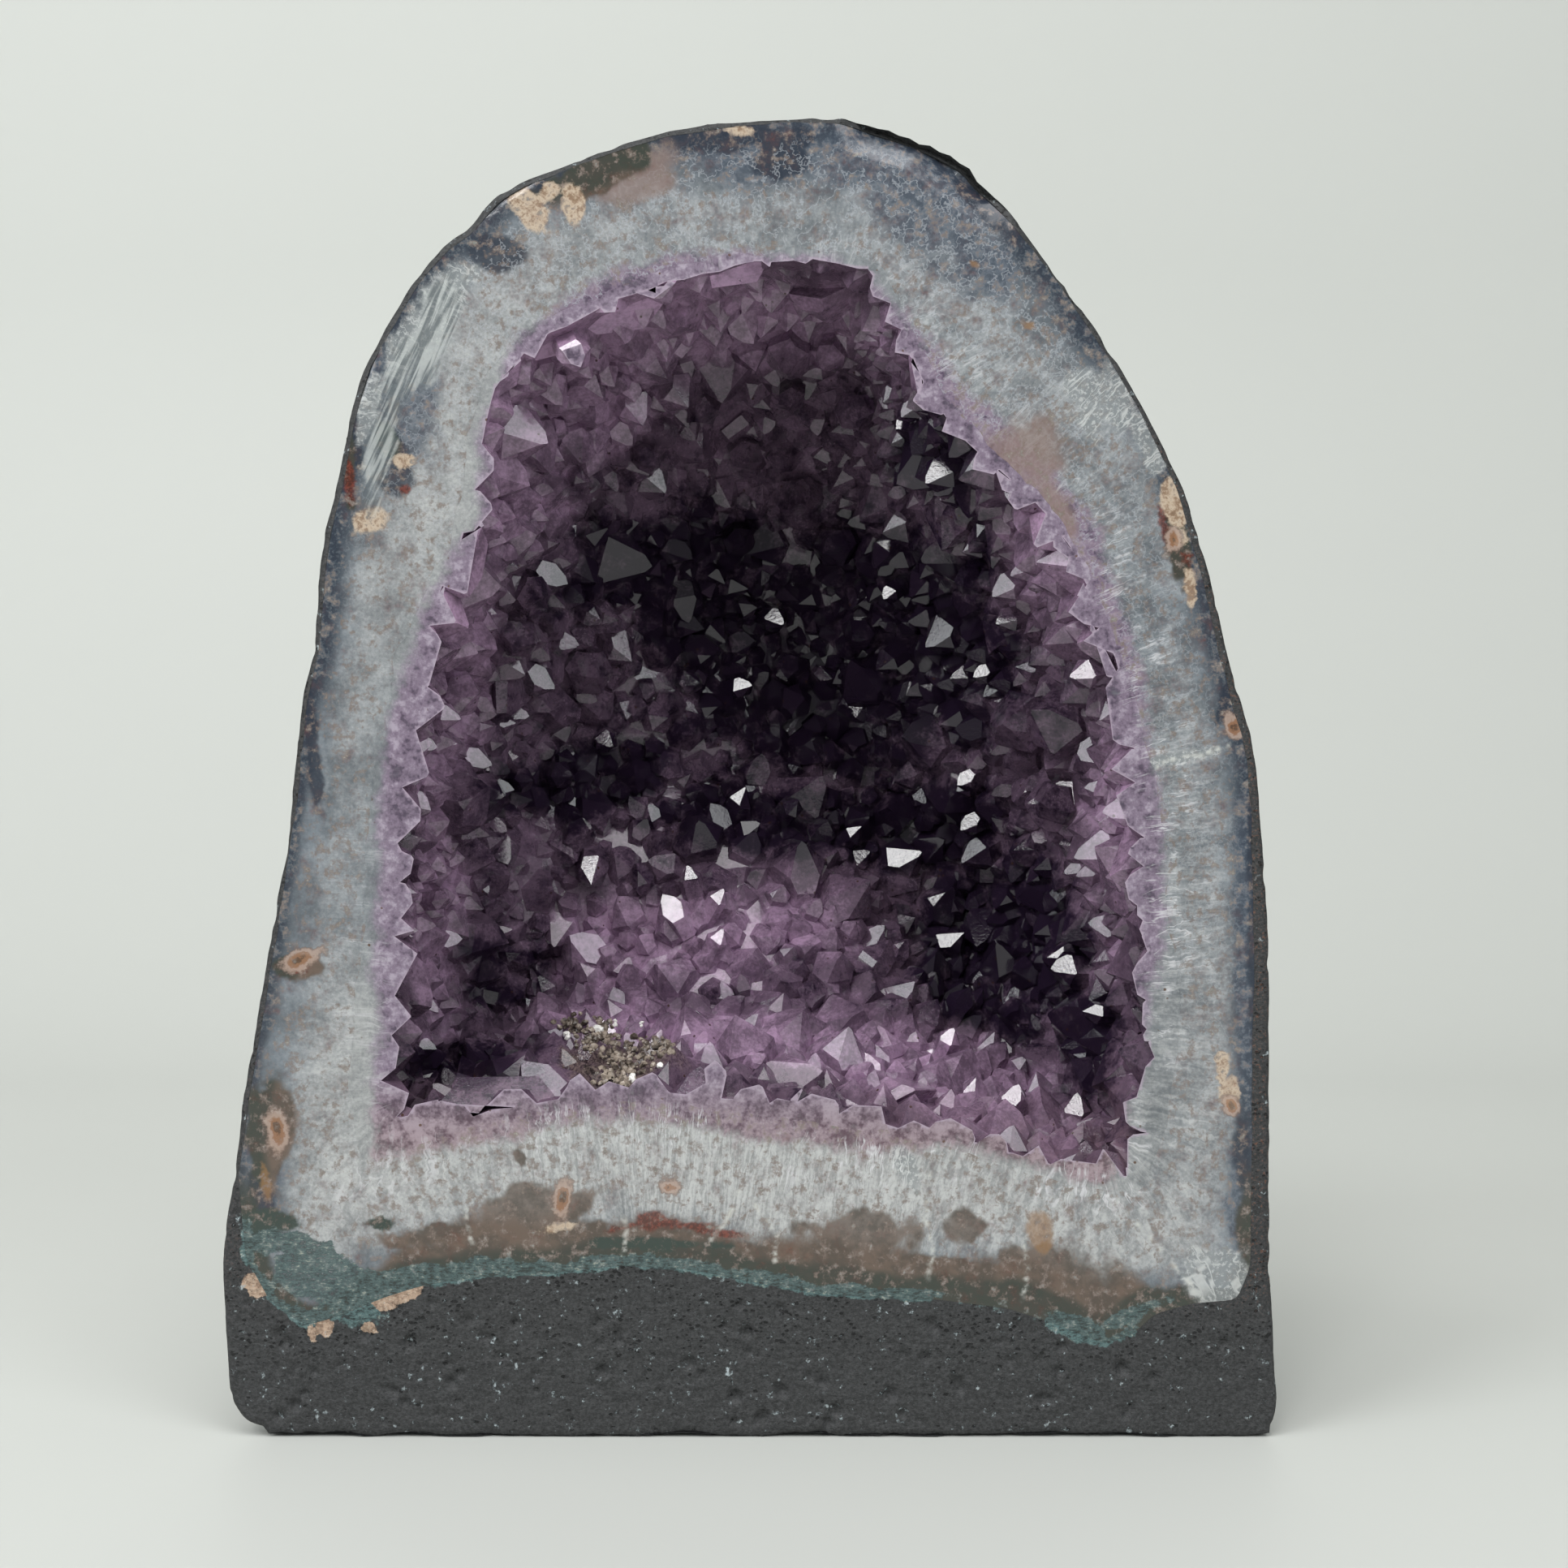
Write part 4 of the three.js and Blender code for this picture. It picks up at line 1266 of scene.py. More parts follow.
def agate_material(settings):
    s = Surface("Agate and quartz")
    navy = tuple(settings.navy)
    grain = Grain(s)
    mottle, coarse, ragged, fine = grain.mottle, grain.coarse, grain.ragged, grain.fine
    colour = quartz_colour(s, settings, grain)
    dark = s.mix(s.step(ragged, 0.4, 0.62), navy, SMOKY_AGATE)
    colour = s.patch(colour, "rind", ragged, 1.5, 0.5, dark)
    dusky = s.mix(s.step(ragged, 0.36, 0.66), *DUSKY_TONES)
    colour = s.patch(colour, "dim", coarse, 1.4, 0.6, dusky, 0.85)
    colour = s.patch(colour, "navy", coarse, 1.0, 0.5, navy, 0.88)
    crackle = s.times(s.ridge(coarse, 0.03), s.mask("crinkled"))
    colour = s.mix(s.times(crackle, 0.45), colour, CRACKLE)
    colour = s.patch(colour, "peach", coarse, 0.8, 0.6, PEACH, 0.75)
    tan = s.mix(s.step(s.mask("layers"), 0.2, 0.32), LAYER_GREEN, tuple(settings.tan))
    tan = s.mix(s.step(s.mask("layers"), 0.4, 0.7), tan, LAYER_PALE)
    tan = s.mix(s.step(mottle, 0.42, 0.6, 0, 0.6), tan, LAYER_DARK)
    tan = s.mix(s.step(ragged, 0.52, 0.7, 0, 0.4), tan, LAYER_CRUMBS)
    colour = s.patch(colour, "brown", coarse, 0.7, 0.42, tan)
    colour = s.patch(colour, "dark_green", ragged, 1.4, 0.4, DARK_GREEN)
    blotch = s.mix(s.step(ragged, 0.36, 0.58), BLOTCH_DARK, tuple(settings.cream))
    colour = s.patch(colour, "cream", ragged, 1.6, 0.35, blotch, 0.9)
    iron = s.mix(s.step(fine, 0.42, 0.62), shade(settings.rust, 0.4), tuple(settings.rust))
    colour = s.patch(colour, "rust", coarse, 1.6, 0.5, iron, 0.85)
    colour = s.patch(colour, "amber", ragged, 1.4, 0.5, AMBER, 0.6)
    eye = s.plus(s.mask("eye"), s.times(s.centred(ragged), 0.9))
    ringed = s.mix(s.step(eye, 0.1, 0.35), *EYE_RINGS[:2])
    ringed = s.mix(s.step(eye, 0.42, 0.56), ringed, EYE_RINGS[2])
    ringed = s.mix(s.step(eye, 0.66, 0.8), ringed, EYE_RINGS[3])
    colour = s.mix(s.step(eye, 0.0, 0.2, 0, 0.85), colour, ringed)
    colour = green_earth(s, colour, ragged, BAND_GREEN)
    frost = s.math("MAXIMUM", grain.needles, s.step(fine, 0.5, 0.62, 0, 0.7))
    snowy = s.mix(frost, *FROST_TONES)
    colour = s.patch(colour, "white", ragged, 1.4, 0.5, snowy, 0.75)
    saw = s.noise(0.75 * MM, 2, 0.5, s.turned(SAWN_TILT, 14), 0.3)
    scraped = s.mix(s.step(saw, 0.42, 0.6), *SCRAPED_TONES)
    colour = s.patch(colour, "sawn", ragged, 1.2, 0.5, scraped, 0.7)
    crack = s.times(s.mask("crack"), s.step(ragged, 0.36, 0.52, 0.1, 0.75))
    colour = s.mix(crack, colour, CRACK_FILL)
    colour = s.mix(s.mask("wall"), colour, WALL_MAUVE)
    s.link(colour, s.shader.inputs["Base Color"])
    s.shader.inputs["Roughness"].default_value = 0.22
    s.shader.inputs["IOR"].default_value = QUARTZ_IOR
    s.bump([(mottle, 0.1 * MM), (fine, 0.02 * MM)])
    return s.material


# Lights, set first because some crystal faces are turned to catch them

LAMP_PLACE = Vector((-0.45, -1.45, 1.15))
LAMP_SIZE = 0.34
LAMP_RADIANCE = 15
LEFT_WINDOW_PLACE = Vector((-1.35, -1.1, 1.0))
RIGHT_WINDOW_PLACE = Vector((1.25, -1.3, 0.9))
WINDOW_SIZE = (0.9, 1.1)
WINDOW_RADIANCE = 5.2
RIGHT_WINDOW_SHARE = 0.7
WINDOW_COLOUR = (0.94, 0.98, 1)
TOP_PLACE = Vector((-0.1, -0.85, 1.75))
TOP_SIZE = (1.7, 1.2)
TOP_RADIANCE = 3.8
WALL_LIGHT_PLACE = Vector((-1.1, 0.1, 1.4))
WALL_LIGHT_SIZE = (1.2, 0.4)
WALL_LIGHT_RADIANCE = 2.0
WALL_AIM = Vector((-0.4, 0.87, 0.4))
AIM = Vector((0, 0, 0.13))

# The amethyst crust

TIP_TILT = math.radians(51.8)  # a quartz tip's faces, from the plane across the crystal
SKIN = (2.0 * MM, 4.2 * MM)  # how far the uneven quartz under the points stands out of the bed
ROOT = 0.9 * MM  # how far out of the bed the points' feet stay, inside that quartz
COLLAR = 7 * MM  # crystals that the polished face cuts through grow on the bed's run in front of it
CUT_RECESS = 0.08 * MM  # the cut crystals lie this far behind the band's face
FORMS = 28  # different crystal shapes
RIM_DEPTH = 18 * MM  # the crystals this near to the face lean towards it
FORWARD = 0.5  # by this share
RIM_GROWTH = 0.45  # and are so much wider, as a share
# How far the points reach in from the bed at the face, in millimetres, by degrees from the right
RIM_REACH = [
    (-180, 13.5), (-160, 14.5), (-140, 13.5), (-125, 9), (-90, 7.5), (-60, 8), (-45, 11),
    (-20, 11.5), (10, 10), (40, 9), (60, 7), (75, 6), (100, 6), (125, 7), (145, 9.5), (165, 12),
    (180, 13.5),
]
# Where the crust's colour is painted paler, as painted light on the lit slopes and the mound, and where it
# is painted darker, as painted shade in the deep hollows: column, row, half sizes, turn
PAINTED_LIGHT_AREAS = [
    (810, 1165, 180, 62, 0.1), (1000, 1125, 70, 55, 0), (1180, 1330, 190, 62, -0.35),
    (680, 480, 140, 110, 0.5), (980, 1285, 330, 34, -0.1), (560, 800, 50, 140, 0),
    (860, 400, 260, 60, 0), (530, 940, 50, 70, 0), (1290, 720, 50, 110, 0.3),
    (620, 640, 80, 100, 0.2), (540, 1150, 40, 150, 0), (1370, 1050, 40, 160, 0),
]
PAINTED_SHADE_AREAS = [
    (800, 690, 190, 56, 0.1), (1040, 800, 220, 150, 0), (1240, 1150, 120, 110, -0.7),
    (620, 1190, 80, 44, 0.3), (720, 960, 110, 44, 0.2), (560, 1310, 90, 22, 0),
    (1150, 560, 50, 60, 0), (1340, 1300, 40, 80, 0), (960, 1010, 150, 44, 0),
    (1140, 1020, 90, 60, 0),
]

# Named large crystals: column, row, radius in millimetres, lean to the right and upwards
LARGE_CRYSTALS = [
    (987, 1035, 6.6, -0.25, 0.95), (1072, 1085, 6.2, 0.8, 0.45), (1262, 992, 6.4, -0.9, 0.1),
    (1270, 875, 6.2, 0.5, 0.6), (1348, 1045, 5.6, 0.1, 0.7), (600, 968, 5.6, -0.1, 0.8),
    (985, 620, 5.2, 0.1, 0.5), (1180, 590, 5.2, -0.7, 0.3), (1037, 1175, 4.6, 0.3, 0.5),
    (905, 1250, 5.4, -0.5, 0.3), (1045, 1265, 5.2, 0.2, 0.4), (1290, 480, 4.6, -0.6, -0.2),
    (735, 835, 5.0, -0.2, 0.1), (860, 1010, 5.6, 0, 0.1), (1060, 360, 5.2, 0, -0.7),
    (675, 545, 5.2, 0.3, -0.2), (520, 1270, 6.0, 0.6, 0.4),
]
# Faces that catch the lamp: column, row, half size in pixels
GLINTS = [
    (1114, 1053, 17), (1193, 1014, 10), (1052, 1023, 8), (825, 1116, 14), (885, 1103, 8),
    (727, 1074, 13), (915, 843, 9), (957, 762, 9), (1238, 762, 10), (1208, 829, 8), (1094, 730, 8),
    (748, 634, 8), (747, 912, 9), (693, 952, 10), (646, 958, 9), (642, 783, 16), (911, 980, 10),
    (1188, 960, 9), (849, 1076, 8), (1174, 1155, 12), (708, 435, 13), (572, 850, 15),
    (1153, 583, 14), (1155, 516, 8), (1312, 1190, 14), (1250, 1347, 10), (1325, 1360, 11),
    (1332, 828, 12), (600, 975, 18), (880, 1316, 9), (543, 1105, 8), (800, 565, 10), (885, 1153, 8),
    (1345, 1245, 9), (525, 1072, 8), (1170, 1275, 8),
]
# Faces that catch a window: column, row, half size in pixels
SHEENS = [
    (984, 628, 18), (1031, 671, 17), (908, 664, 12), (684, 709, 15), (654, 730, 13), (770, 800, 14),
    (1154, 782, 16), (1061, 781, 11), (1087, 815, 10), (970, 819, 11), (976, 861, 14),
    (1197, 715, 11), (1233, 724, 12), (1262, 885, 24), (1197, 1050, 14), (670, 837, 14),
    (711, 1023, 13), (885, 1003, 13), (974, 991, 9), (843, 484, 15), (966, 440, 17),
    (1052, 505, 13), (1346, 1048, 20), (721, 1165, 18), (970, 490, 11), (1300, 985, 16),
    (915, 560, 12), (556, 882, 10), (1015, 440, 12), (1190, 1230, 12),
]


SIDE_TURN = 3  # how unevenly the sides and the tip's faces stand round the crystal, in degrees
TIP_TURN = 2
SIDE_REACH = (0.82, 1.16)  # how far the sides lie from the middle, where 1 is even
TIP_WAVER = 0.03  # how unevenly the tip's faces slope, in radians
SET_BACK = (0.07, 0.24)  # how far back a tip face may lie: every second one a little, the others more
COLUMN = 8  # length below the tip before it is fitted, in half widths
SAME_CORNER = 1e-5  # in half widths
ON_PLANE = 1e-6
FLAT_CORNER = 1e-4  # three planes whose determinant is smaller meet in no clear corner


def crystal_form(random):
    """Corners and faces of a quartz point: a column about 1 in half width, its tip at the origin."""
    planes = []
    for side in range(6):
        turn = math.radians(60 * side + random.uniform(-SIDE_TURN, SIDE_TURN))
        planes.append((math.cos(turn), math.sin(turn), 0, random.uniform(*SIDE_REACH)))
    for side in range(6):
        turn = math.radians(60 * side + random.uniform(-TIP_TURN, TIP_TURN))
        tilt = TIP_TILT + random.uniform(-TIP_WAVER, TIP_WAVER)
        back = random.uniform(0, SET_BACK[side % 2])
        back = 0 if side == 0 else back
        out = math.sin(tilt)
        planes.append((out * math.cos(turn), out * math.sin(turn), math.cos(tilt), back))
    planes.append((0, 0, -1, COLUMN))
    normals = np.array([p[:3] for p in planes])
    offsets = np.array([p[3] for p in planes])
    corners = []
    for three in map(list, combinations(range(len(planes)), 3)):
        if abs(np.linalg.det(normals[three])) < FLAT_CORNER:
            continue
        place = np.linalg.solve(normals[three], offsets[three])
        inside = np.all(normals @ place <= offsets + 0.1 * ON_PLANE)
        if inside and all(np.linalg.norm(place - other) > SAME_CORNER for other in corners):
            corners.append(place)
    corners = np.array(corners)
    faces = []
    for normal, offset in zip(normals, offsets):
        on = [i for i, place in enumerate(corners) if abs(normal @ place - offset) < ON_PLANE]
        if len(on) < 3:
            continue
        centre = corners[on].mean(0)
        first = corners[on[0]] - centre
        first /= np.linalg.norm(first)
        second = np.cross(normal, first)
        on.sort(key=lambda i: math.atan2((corners[i] - centre) @ second, (corners[i] - centre) @ first))
        faces.append(tuple(on))
    return corners - np.array([0, 0, corners[:, 2].max()]), faces


class Crystal:
    """One amethyst point: where its tip is, which way it grows and which way its first face looks."""

    def __init__(self, tip, axis, across, radius, length, form):
        self.tip, self.axis, self.radius, self.length, self.form = tip, axis, radius, length, form
        self.across = (across - axis * across.dot(axis)).normalized()

    def placed(self, forms):
        corners, faces = forms[self.form]
        side = self.axis.cross(self.across)
        turn = np.array([self.across, side, self.axis]).T
        local = corners * self.radius
        foot = local[:, 2] < -0.5 * COLUMN * self.radius
        local[foot, 2] = -self.length
        return local @ turn.T + np.array(self.tip), faces

    def spine(self):
        steps = np.linspace(0.15, 1, 5)[:, None] * self.length
        return np.array(self.tip) - steps * np.array(self.axis)


def run_on(bm, y):
    """Runs an open edge straight on to a plane across the depth, as pairs of triangles."""
    rim = [e for e in bm.edges if e.is_boundary]
    ahead = {}
    for vert in (v for e in rim for v in e.verts):
        if vert not in ahead:
            ahead[vert] = bm.verts.new((vert.co.x, y, vert.co.z))
    for edge in rim:
        loop = edge.link_loops[0]
        first, last = loop.vert, loop.link_loop_next.vert
        bm.faces.new((last, first, ahead[first]))
        bm.faces.new((last, ahead[first], ahead[last]))


class Bed:
    """The wall that the crystals stand on: the band's hollow, run on a little before the face."""

    def __init__(self):
        bm = open_front("agate_quartz_band")
        outer = joined_to(farthest_out(boundary_verts(bm)))
        bmesh.ops.delete(bm, geom=list(outer), context="VERTS")
        bm.normal_update()
        halve_edges(bm, lambda f: True, 6 * MM)
        for _ in range(3):
            inner = [v for v in bm.verts if not on_face(v)]
            bmesh.ops.smooth_vert(
                bm, verts=inner, factor=0.5, use_axis_x=True, use_axis_y=True, use_axis_z=True)
        run_on(bm, FACE_Y - COLLAR)
        bmesh.ops.recalc_face_normals(bm, faces=bm.faces)
        bm.normal_update()
        middle = Vector((MIDDLE[0], FACE_Y + 10 * MM, MIDDLE[1]))
        first = max(bm.faces, key=lambda f: f.calc_center_median().y)
        if first.normal.dot(middle - first.calc_center_median()) < 0:
            bmesh.ops.reverse_faces(bm, faces=bm.faces)
            bm.normal_update()
        bm.verts.index_update()
        self.places = np.array([v.co for v in bm.verts])
        self.normals = np.array([v.normal for v in bm.verts])
        self.faces = np.array([[v.index for v in f.verts] for f in bm.faces])
        self.areas = np.array([f.calc_area() for f in bm.faces])
        self.tree = BVHTree.FromBMesh(bm)
        bm.free()

    def scatter(self, random, count):
        """Even random places on the bed, with the way out of it at each."""
        chosen = random.choice(len(self.faces), count, p=self.areas / self.areas.sum())
        a, b = random.random(count), random.random(count)
        over = a + b > 1
        a, b = np.where(over, 1 - a, a), np.where(over, 1 - b, b)
        weights = np.column_stack([1 - a - b, a, b])[:, :, None]
        places = (self.places[self.faces[chosen]] * weights).sum(1)
        normals = (self.normals[self.faces[chosen]] * weights).sum(1)
        return places, normals / np.linalg.norm(normals, axis=1)[:, None]

    def seen(self, column, row):
        """Where the line of sight through a pixel meets the bed, and the way that line runs."""
        way = sight(column, row)
        return self.tree.ray_cast(EYE, way)[0], way

    def skin(self):
        """The uneven quartz that the points stand on, as one closed solid."""
        rise = SKIN[0] + (SKIN[1] - SKIN[0]) * (0.5 + 0.5 * cloud(self.places, 7 * MM, 3, 611))
        count = len(self.places)
        front = self.places + self.normals * rise[:, None]
        vertices = np.concatenate([self.places - self.normals * 0.1 * MM, front])
        faces = [tuple(count + i for i in face) for face in self.faces]
        faces += [tuple(reversed(tuple(int(i) for i in face))) for face in self.faces]
        edges = {}
        for face in self.faces:
            for a, b in zip(face, np.roll(face, -1)):
                edges[(int(a), int(b))] = True
        for a, b in edges:
            if (b, a) not in edges:
                faces.append((a, b, count + b, count + a))
        made = object_of("crust_skin", mesh_of("crust_skin", vertices, faces))
        set_tones(made.data, np.full(len(faces), 0.5))
        return made

    def height(self, place):
        found, _, _, _ = self.tree.find_nearest(place)
        return (Vector(place) - found).length


CLIMB_STEP = 0.4  # in millimetres
LONGEST_CLIMB = 30 * MM


def raised(bed, column, row, height):
    """The place on a pixel's line of sight that stands a height proud of the bed."""
    place, way = bed.seen(column, row)
    if place is None:
        return None, None
    spot = place
    while bed.height(spot) < height and (spot - place).length < LONGEST_CLIMB:
        spot = spot - way * CLIMB_STEP * MM
    _, normal, _, _ = bed.tree.find_nearest(spot)
    return spot, normal


LARGE_RISE = 10 * MM  # the named large crystals stand this much proud of the bed
LARGE_LEAN = 0.75
GLINT_RISE = (6, 3.2)  # the glinting ones this much at the face, and so much more inside, in millimetres
GLINT_DEPTHS = (8 * MM, 26 * MM)  # over these depths
GLINT_WIDTH = 1.55  # a crystal's radius for each half width of its glint


def named_crystals(bed):
    """The large crystals, and those whose face throws a light back at the camera."""
    made = []
    for column, row, radius, right, up in LARGE_CRYSTALS:
        size = radius * MM
        spot, normal = raised(bed, column, row, LARGE_RISE + 0.5 * size)
        if spot is None:
            continue
        axis = (normal + LARGE_LEAN * Vector((right, -0.45, up))).normalized()
        across = axis.cross(Vector((0.3, 0.5, 1)))
        made.append(Crystal(spot, axis, across, size, 9 * MM + 0.5 * size, len(made) % FORMS))
    for places, light in ((GLINTS, LAMP_PLACE), (SHEENS, None)):
        for i, (column, row, half) in enumerate(places):
            foot, _ = bed.seen(column, row)
            inside = 0 if foot is None else ramp(foot.y - FACE_Y, *GLINT_DEPTHS)
            rise = (GLINT_RISE[0] + GLINT_RISE[1] * inside) * MM
            spot, normal = raised(bed, column, row, rise)
            if spot is None:
                continue
            source = light or (LEFT_WINDOW_PLACE, RIGHT_WINDOW_PLACE)[i % 2]
            half_way = ((EYE - spot).normalized() + (source - spot).normalized()).normalized()
            lean = normal - half_way * normal.dot(half_way)
            lean.normalize()
            axis = (half_way * math.cos(TIP_TILT) + lean * math.sin(TIP_TILT)).normalized()
            across = (half_way - axis * half_way.dot(axis)).normalized()
            deeper = 1 + (spot.y - FACE_Y) / EYE_DISTANCE
            size = half * PHOTO_SCALE * deeper * GLINT_WIDTH
            tip = spot - across * 0.5 * size + axis * 0.5 * size * math.tan(TIP_TILT)
            made.append(Crystal(tip, axis, across, size, 8 * MM + 0.6 * size, (2 * i) % FORMS))
    return made


TRIES = 70000  # random places that are tried for a point, and how many of the first are for large ones
LARGE_TRIES, MIDDLING_TRIES = 110, 1700
LARGE_ROOM, MIDDLING_ROOM, SMALL_ROOM = (0.85, 1.2), (0.5, 0.78), (0.38, 0.5)  # in spacings
CELL = 9 * MM  # of the grid in which neighbours are looked up
LEAN = 0.34  # how much the points lean at random
POINT_HEIGHT = 4.8 * MM  # out of the bed, to which 1.2 of their room and some unevenness is added
SWELL_SIZE = 26 * MM  # over such distances the points get taller and shorter


def point_size(random, count, settings):
    """Half the room that each point wants: first the few large ones, then middling, then small."""
    large, middling = LARGE_TRIES, MIDDLING_TRIES
    share = random.uniform(*SMALL_ROOM, count)
    share[:large + middling] = random.uniform(*MIDDLING_ROOM, large + middling)
    share[:large] = random.uniform(*LARGE_ROOM, large)
    return share * settings.spacing


def small_crystals(bed, settings, standing, random):
    """The rest of the crust: even but shaken places, the larger points first."""
    places, normals = bed.scatter(random, TRIES)
    coarse = cloud(places, SWELL_SIZE, 2, 601)
    rim = 1 - ramp(places[:, 1] - FACE_Y, 0, RIM_DEPTH)
    sizes = point_size(random, TRIES, settings) * (1 + 0.2 * coarse) * (1 + RIM_GROWTH * rim)
    rim_reach = by_direction(direction(places[:, 0], places[:, 2]), RIM_REACH) * MM
    grid = {}

    def crowded(place, size):
        key = (place // CELL).astype(int)
        near = [held for step in product((-1, 0, 1), repeat=3) for held in grid.get(tuple(key + step), ())]
        return any(np.sum((other - place) ** 2) < (size + wide) ** 2 for other, wide in near)

    def hold(place, size):
        grid.setdefault(tuple((place // CELL).astype(int)), []).append((place, size))

    for crystal in standing:
        found, _, _, _ = bed.tree.find_nearest(crystal.tip)
        hold(np.array(found), 0.6 * crystal.radius)
    made = []
    for i in range(TRIES):
        place, size = places[i], sizes[i]
        if crowded(place, size):
            continue
        hold(place, size)
        lean = Vector(random.normal(0, LEAN * (1 - 0.5 * rim[i]), 3)) - Vector((0, FORWARD * rim[i], 0))
        axis = (Vector(normals[i]) + lean).normalized()
        plain = POINT_HEIGHT + 1.2 * size + 1.7 * MM * coarse[i] + random.uniform(-0.9, 1.2) * MM
        at_rim = rim_reach[i] + (1.6 * coarse[i] + random.uniform(-0.9, 0.9)) * MM
        tall = float(plain * (1 - rim[i]) + at_rim * rim[i])
        tip = Vector(place) + axis * tall
        across = axis.cross(Vector(random.normal(0, 1, 3)))
        radius = float(size) * (1.35 + 0.35 * rim[i])
        made.append(Crystal(tip, axis, across, radius, tall - ROOT, int(random.integers(FORMS))))
    return made


GAP_RADII = 1.3  # two crystals are apart when their spines are this share of their radii
GAP_LENGTHS = 0.13  # and of their lengths from each other
OWN_TONE = 0.62  # how much of a face's tone is its crystal's, the rest being its own


def apart(crystals):
    """Sorts the crystals into groups whose members don't touch."""
    tree = tree_of([c.tip - c.axis * 0.5 * c.length for c in crystals])
    spines = [c.spine() for c in crystals]
    reach = max(c.length for c in crystals)
    group_of = {}
    for i, c in enumerate(crystals):
        taken = set()
        middle = c.tip - c.axis * 0.5 * c.length
        for _, j, _ in tree.find_range(middle, 0.5 * (c.length + reach) + 9 * MM):
            if j in group_of:
                gap = np.sqrt(((spines[i][:, None] - spines[j][None]) ** 2).sum(2).min())
                other = crystals[j]
                if gap < GAP_RADII * (c.radius + other.radius) + GAP_LENGTHS * (c.length + other.length):
                    taken.add(group_of[j])
        group = 0
        while group in taken:
            group += 1
        group_of[i] = group
    groups = [[] for _ in range(max(group_of.values()) + 1)]
    for i, group in group_of.items():
        groups[group].append(crystals[i])
    return groups


def group_object(group, forms, name, random):
    """One mesh of crystals that don't touch, with a tone for each face that holds to its crystal."""
    vertices, faces, tones = [], [], []
    for crystal in group:
        corners, sides = crystal.placed(forms)
        start = len(vertices)
        vertices.extend(corners)
        faces.extend(tuple(i + start for i in side) for side in sides)
        own = random.random()
        tones.extend(OWN_TONE * own + (1 - OWN_TONE) * random.random(len(sides)))
    made = object_of(name, mesh_of(name, vertices, faces))
    set_tones(made.data, tones)
    return made


def set_tones(mesh, tones):
    layer = mesh.attributes.new("tone", "FLOAT", "FACE")
    layer.data.foreach_set("value", np.asarray(tones, dtype=np.float32))


def joined(base, others, operation):
    """Joins closed objects into one mesh, one after another, and removes them."""
    bpy.context.view_layer.update()
    for other in others:
        modifier = base.modifiers.new(other.name, "BOOLEAN")
        modifier.operation = operation
        modifier.solver = "MANIFOLD"
        modifier.object = other
        graph = bpy.context.evaluated_depsgraph_get()
        mesh = bpy.data.meshes.new_from_object(base.evaluated_get(graph))
        base.modifiers.remove(modifier)
        base.data = mesh
    for obj in [base, *others]:
        bpy.data.objects.remove(obj)
    return mesh


BLOCK_PITCH = 1.5 * MM  # the cut through the crystals is divided this finely, for its masks
BLOCK_SQUARES = (130, 140)
BLOCK_DEPTH = 200 * MM


def behind_face():
    """A block that holds all that is behind the plane of the cut, its front in small squares."""
    plane = FACE_Y + CUT_RECESS
    xs, zs = (
        middle + BLOCK_PITCH * (np.arange(count + 1) - count / 2)
        for middle, count in zip(MIDDLE, BLOCK_SQUARES))
    bm = bmesh.new()
    grid = [[bm.verts.new((x, plane, z)) for z in zs] for x in xs]
    for near, far in zip(grid, grid[1:]):
        for j in range(len(near) - 1):
            bm.faces.new((near[j], far[j], far[j + 1], near[j + 1]))
    run_on(bm, FACE_Y + BLOCK_DEPTH)
    bmesh.ops.holes_fill(bm, edges=[e for e in bm.edges if e.is_boundary])
    bmesh.ops.recalc_face_normals(bm, faces=bm.faces)
    mesh = bpy.data.meshes.new("behind_face")
    bm.to_mesh(mesh)
    bm.free()
    return object_of("behind_face", mesh)


def crust_mesh(settings):
    random = np.random.default_rng(settings.seed)
    bed = Bed()
    forms = [crystal_form(random) for _ in range(FORMS)]
    standing = named_crystals(bed)
    crystals = standing + small_crystals(bed, settings, standing, random)
    groups = apart(crystals)
    objects = [group_object(group, forms, f"points_{i}", random) for i, group in enumerate(groups)]
    whole = joined(bed.skin(), objects, "UNION")
    cut = joined(object_of("crust_whole", whole), [behind_face()], "INTERSECT")
    return marked_cut(cut), bed


def marked_cut(mesh):
    """Sets the polished cut through the crystals apart, and drops loose splinters."""
    bm = bmesh.new()
    bm.from_mesh(mesh)
    plane = FACE_Y + CUT_RECESS
    drop_splinters(bm)
    for face in bm.faces:
        cut = all(abs(v.co.y - plane) < 2 * SAME_PLACE for v in face.verts)
        face.material_index = 1 if cut else 0
        face.smooth = False
    mesh.materials.clear()
    bm.to_mesh(mesh)
    bm.free()
    return mesh


def drop_splinters(bm):
    """Keeps only the largest connected part."""
    left, parts = dict.fromkeys(bm.verts), []
    while left:
        parts.append(joined_to(next(iter(left))))
        for vert in parts[-1]:
            del left[vert]
    parts.remove(max(parts, key=len))
    bmesh.ops.delete(bm, geom=[v for part in parts for v in part], context="VERTS")


def seen_at(co):
    """Where on the face, as x and z, the camera sees each point of the hollow."""
    share = EYE_DISTANCE / (co[:, 1] - EYE.y)
    return EYE.x + (co[:, 0] - EYE.x) * share, EYE.z + (co[:, 2] - EYE.z) * share


FULL_HEIGHT = 12 * MM  # out of the bed, where the mask of height is 1
DRUSE_SPOTS = [(765, 1300, 70, 48, 0.1)]


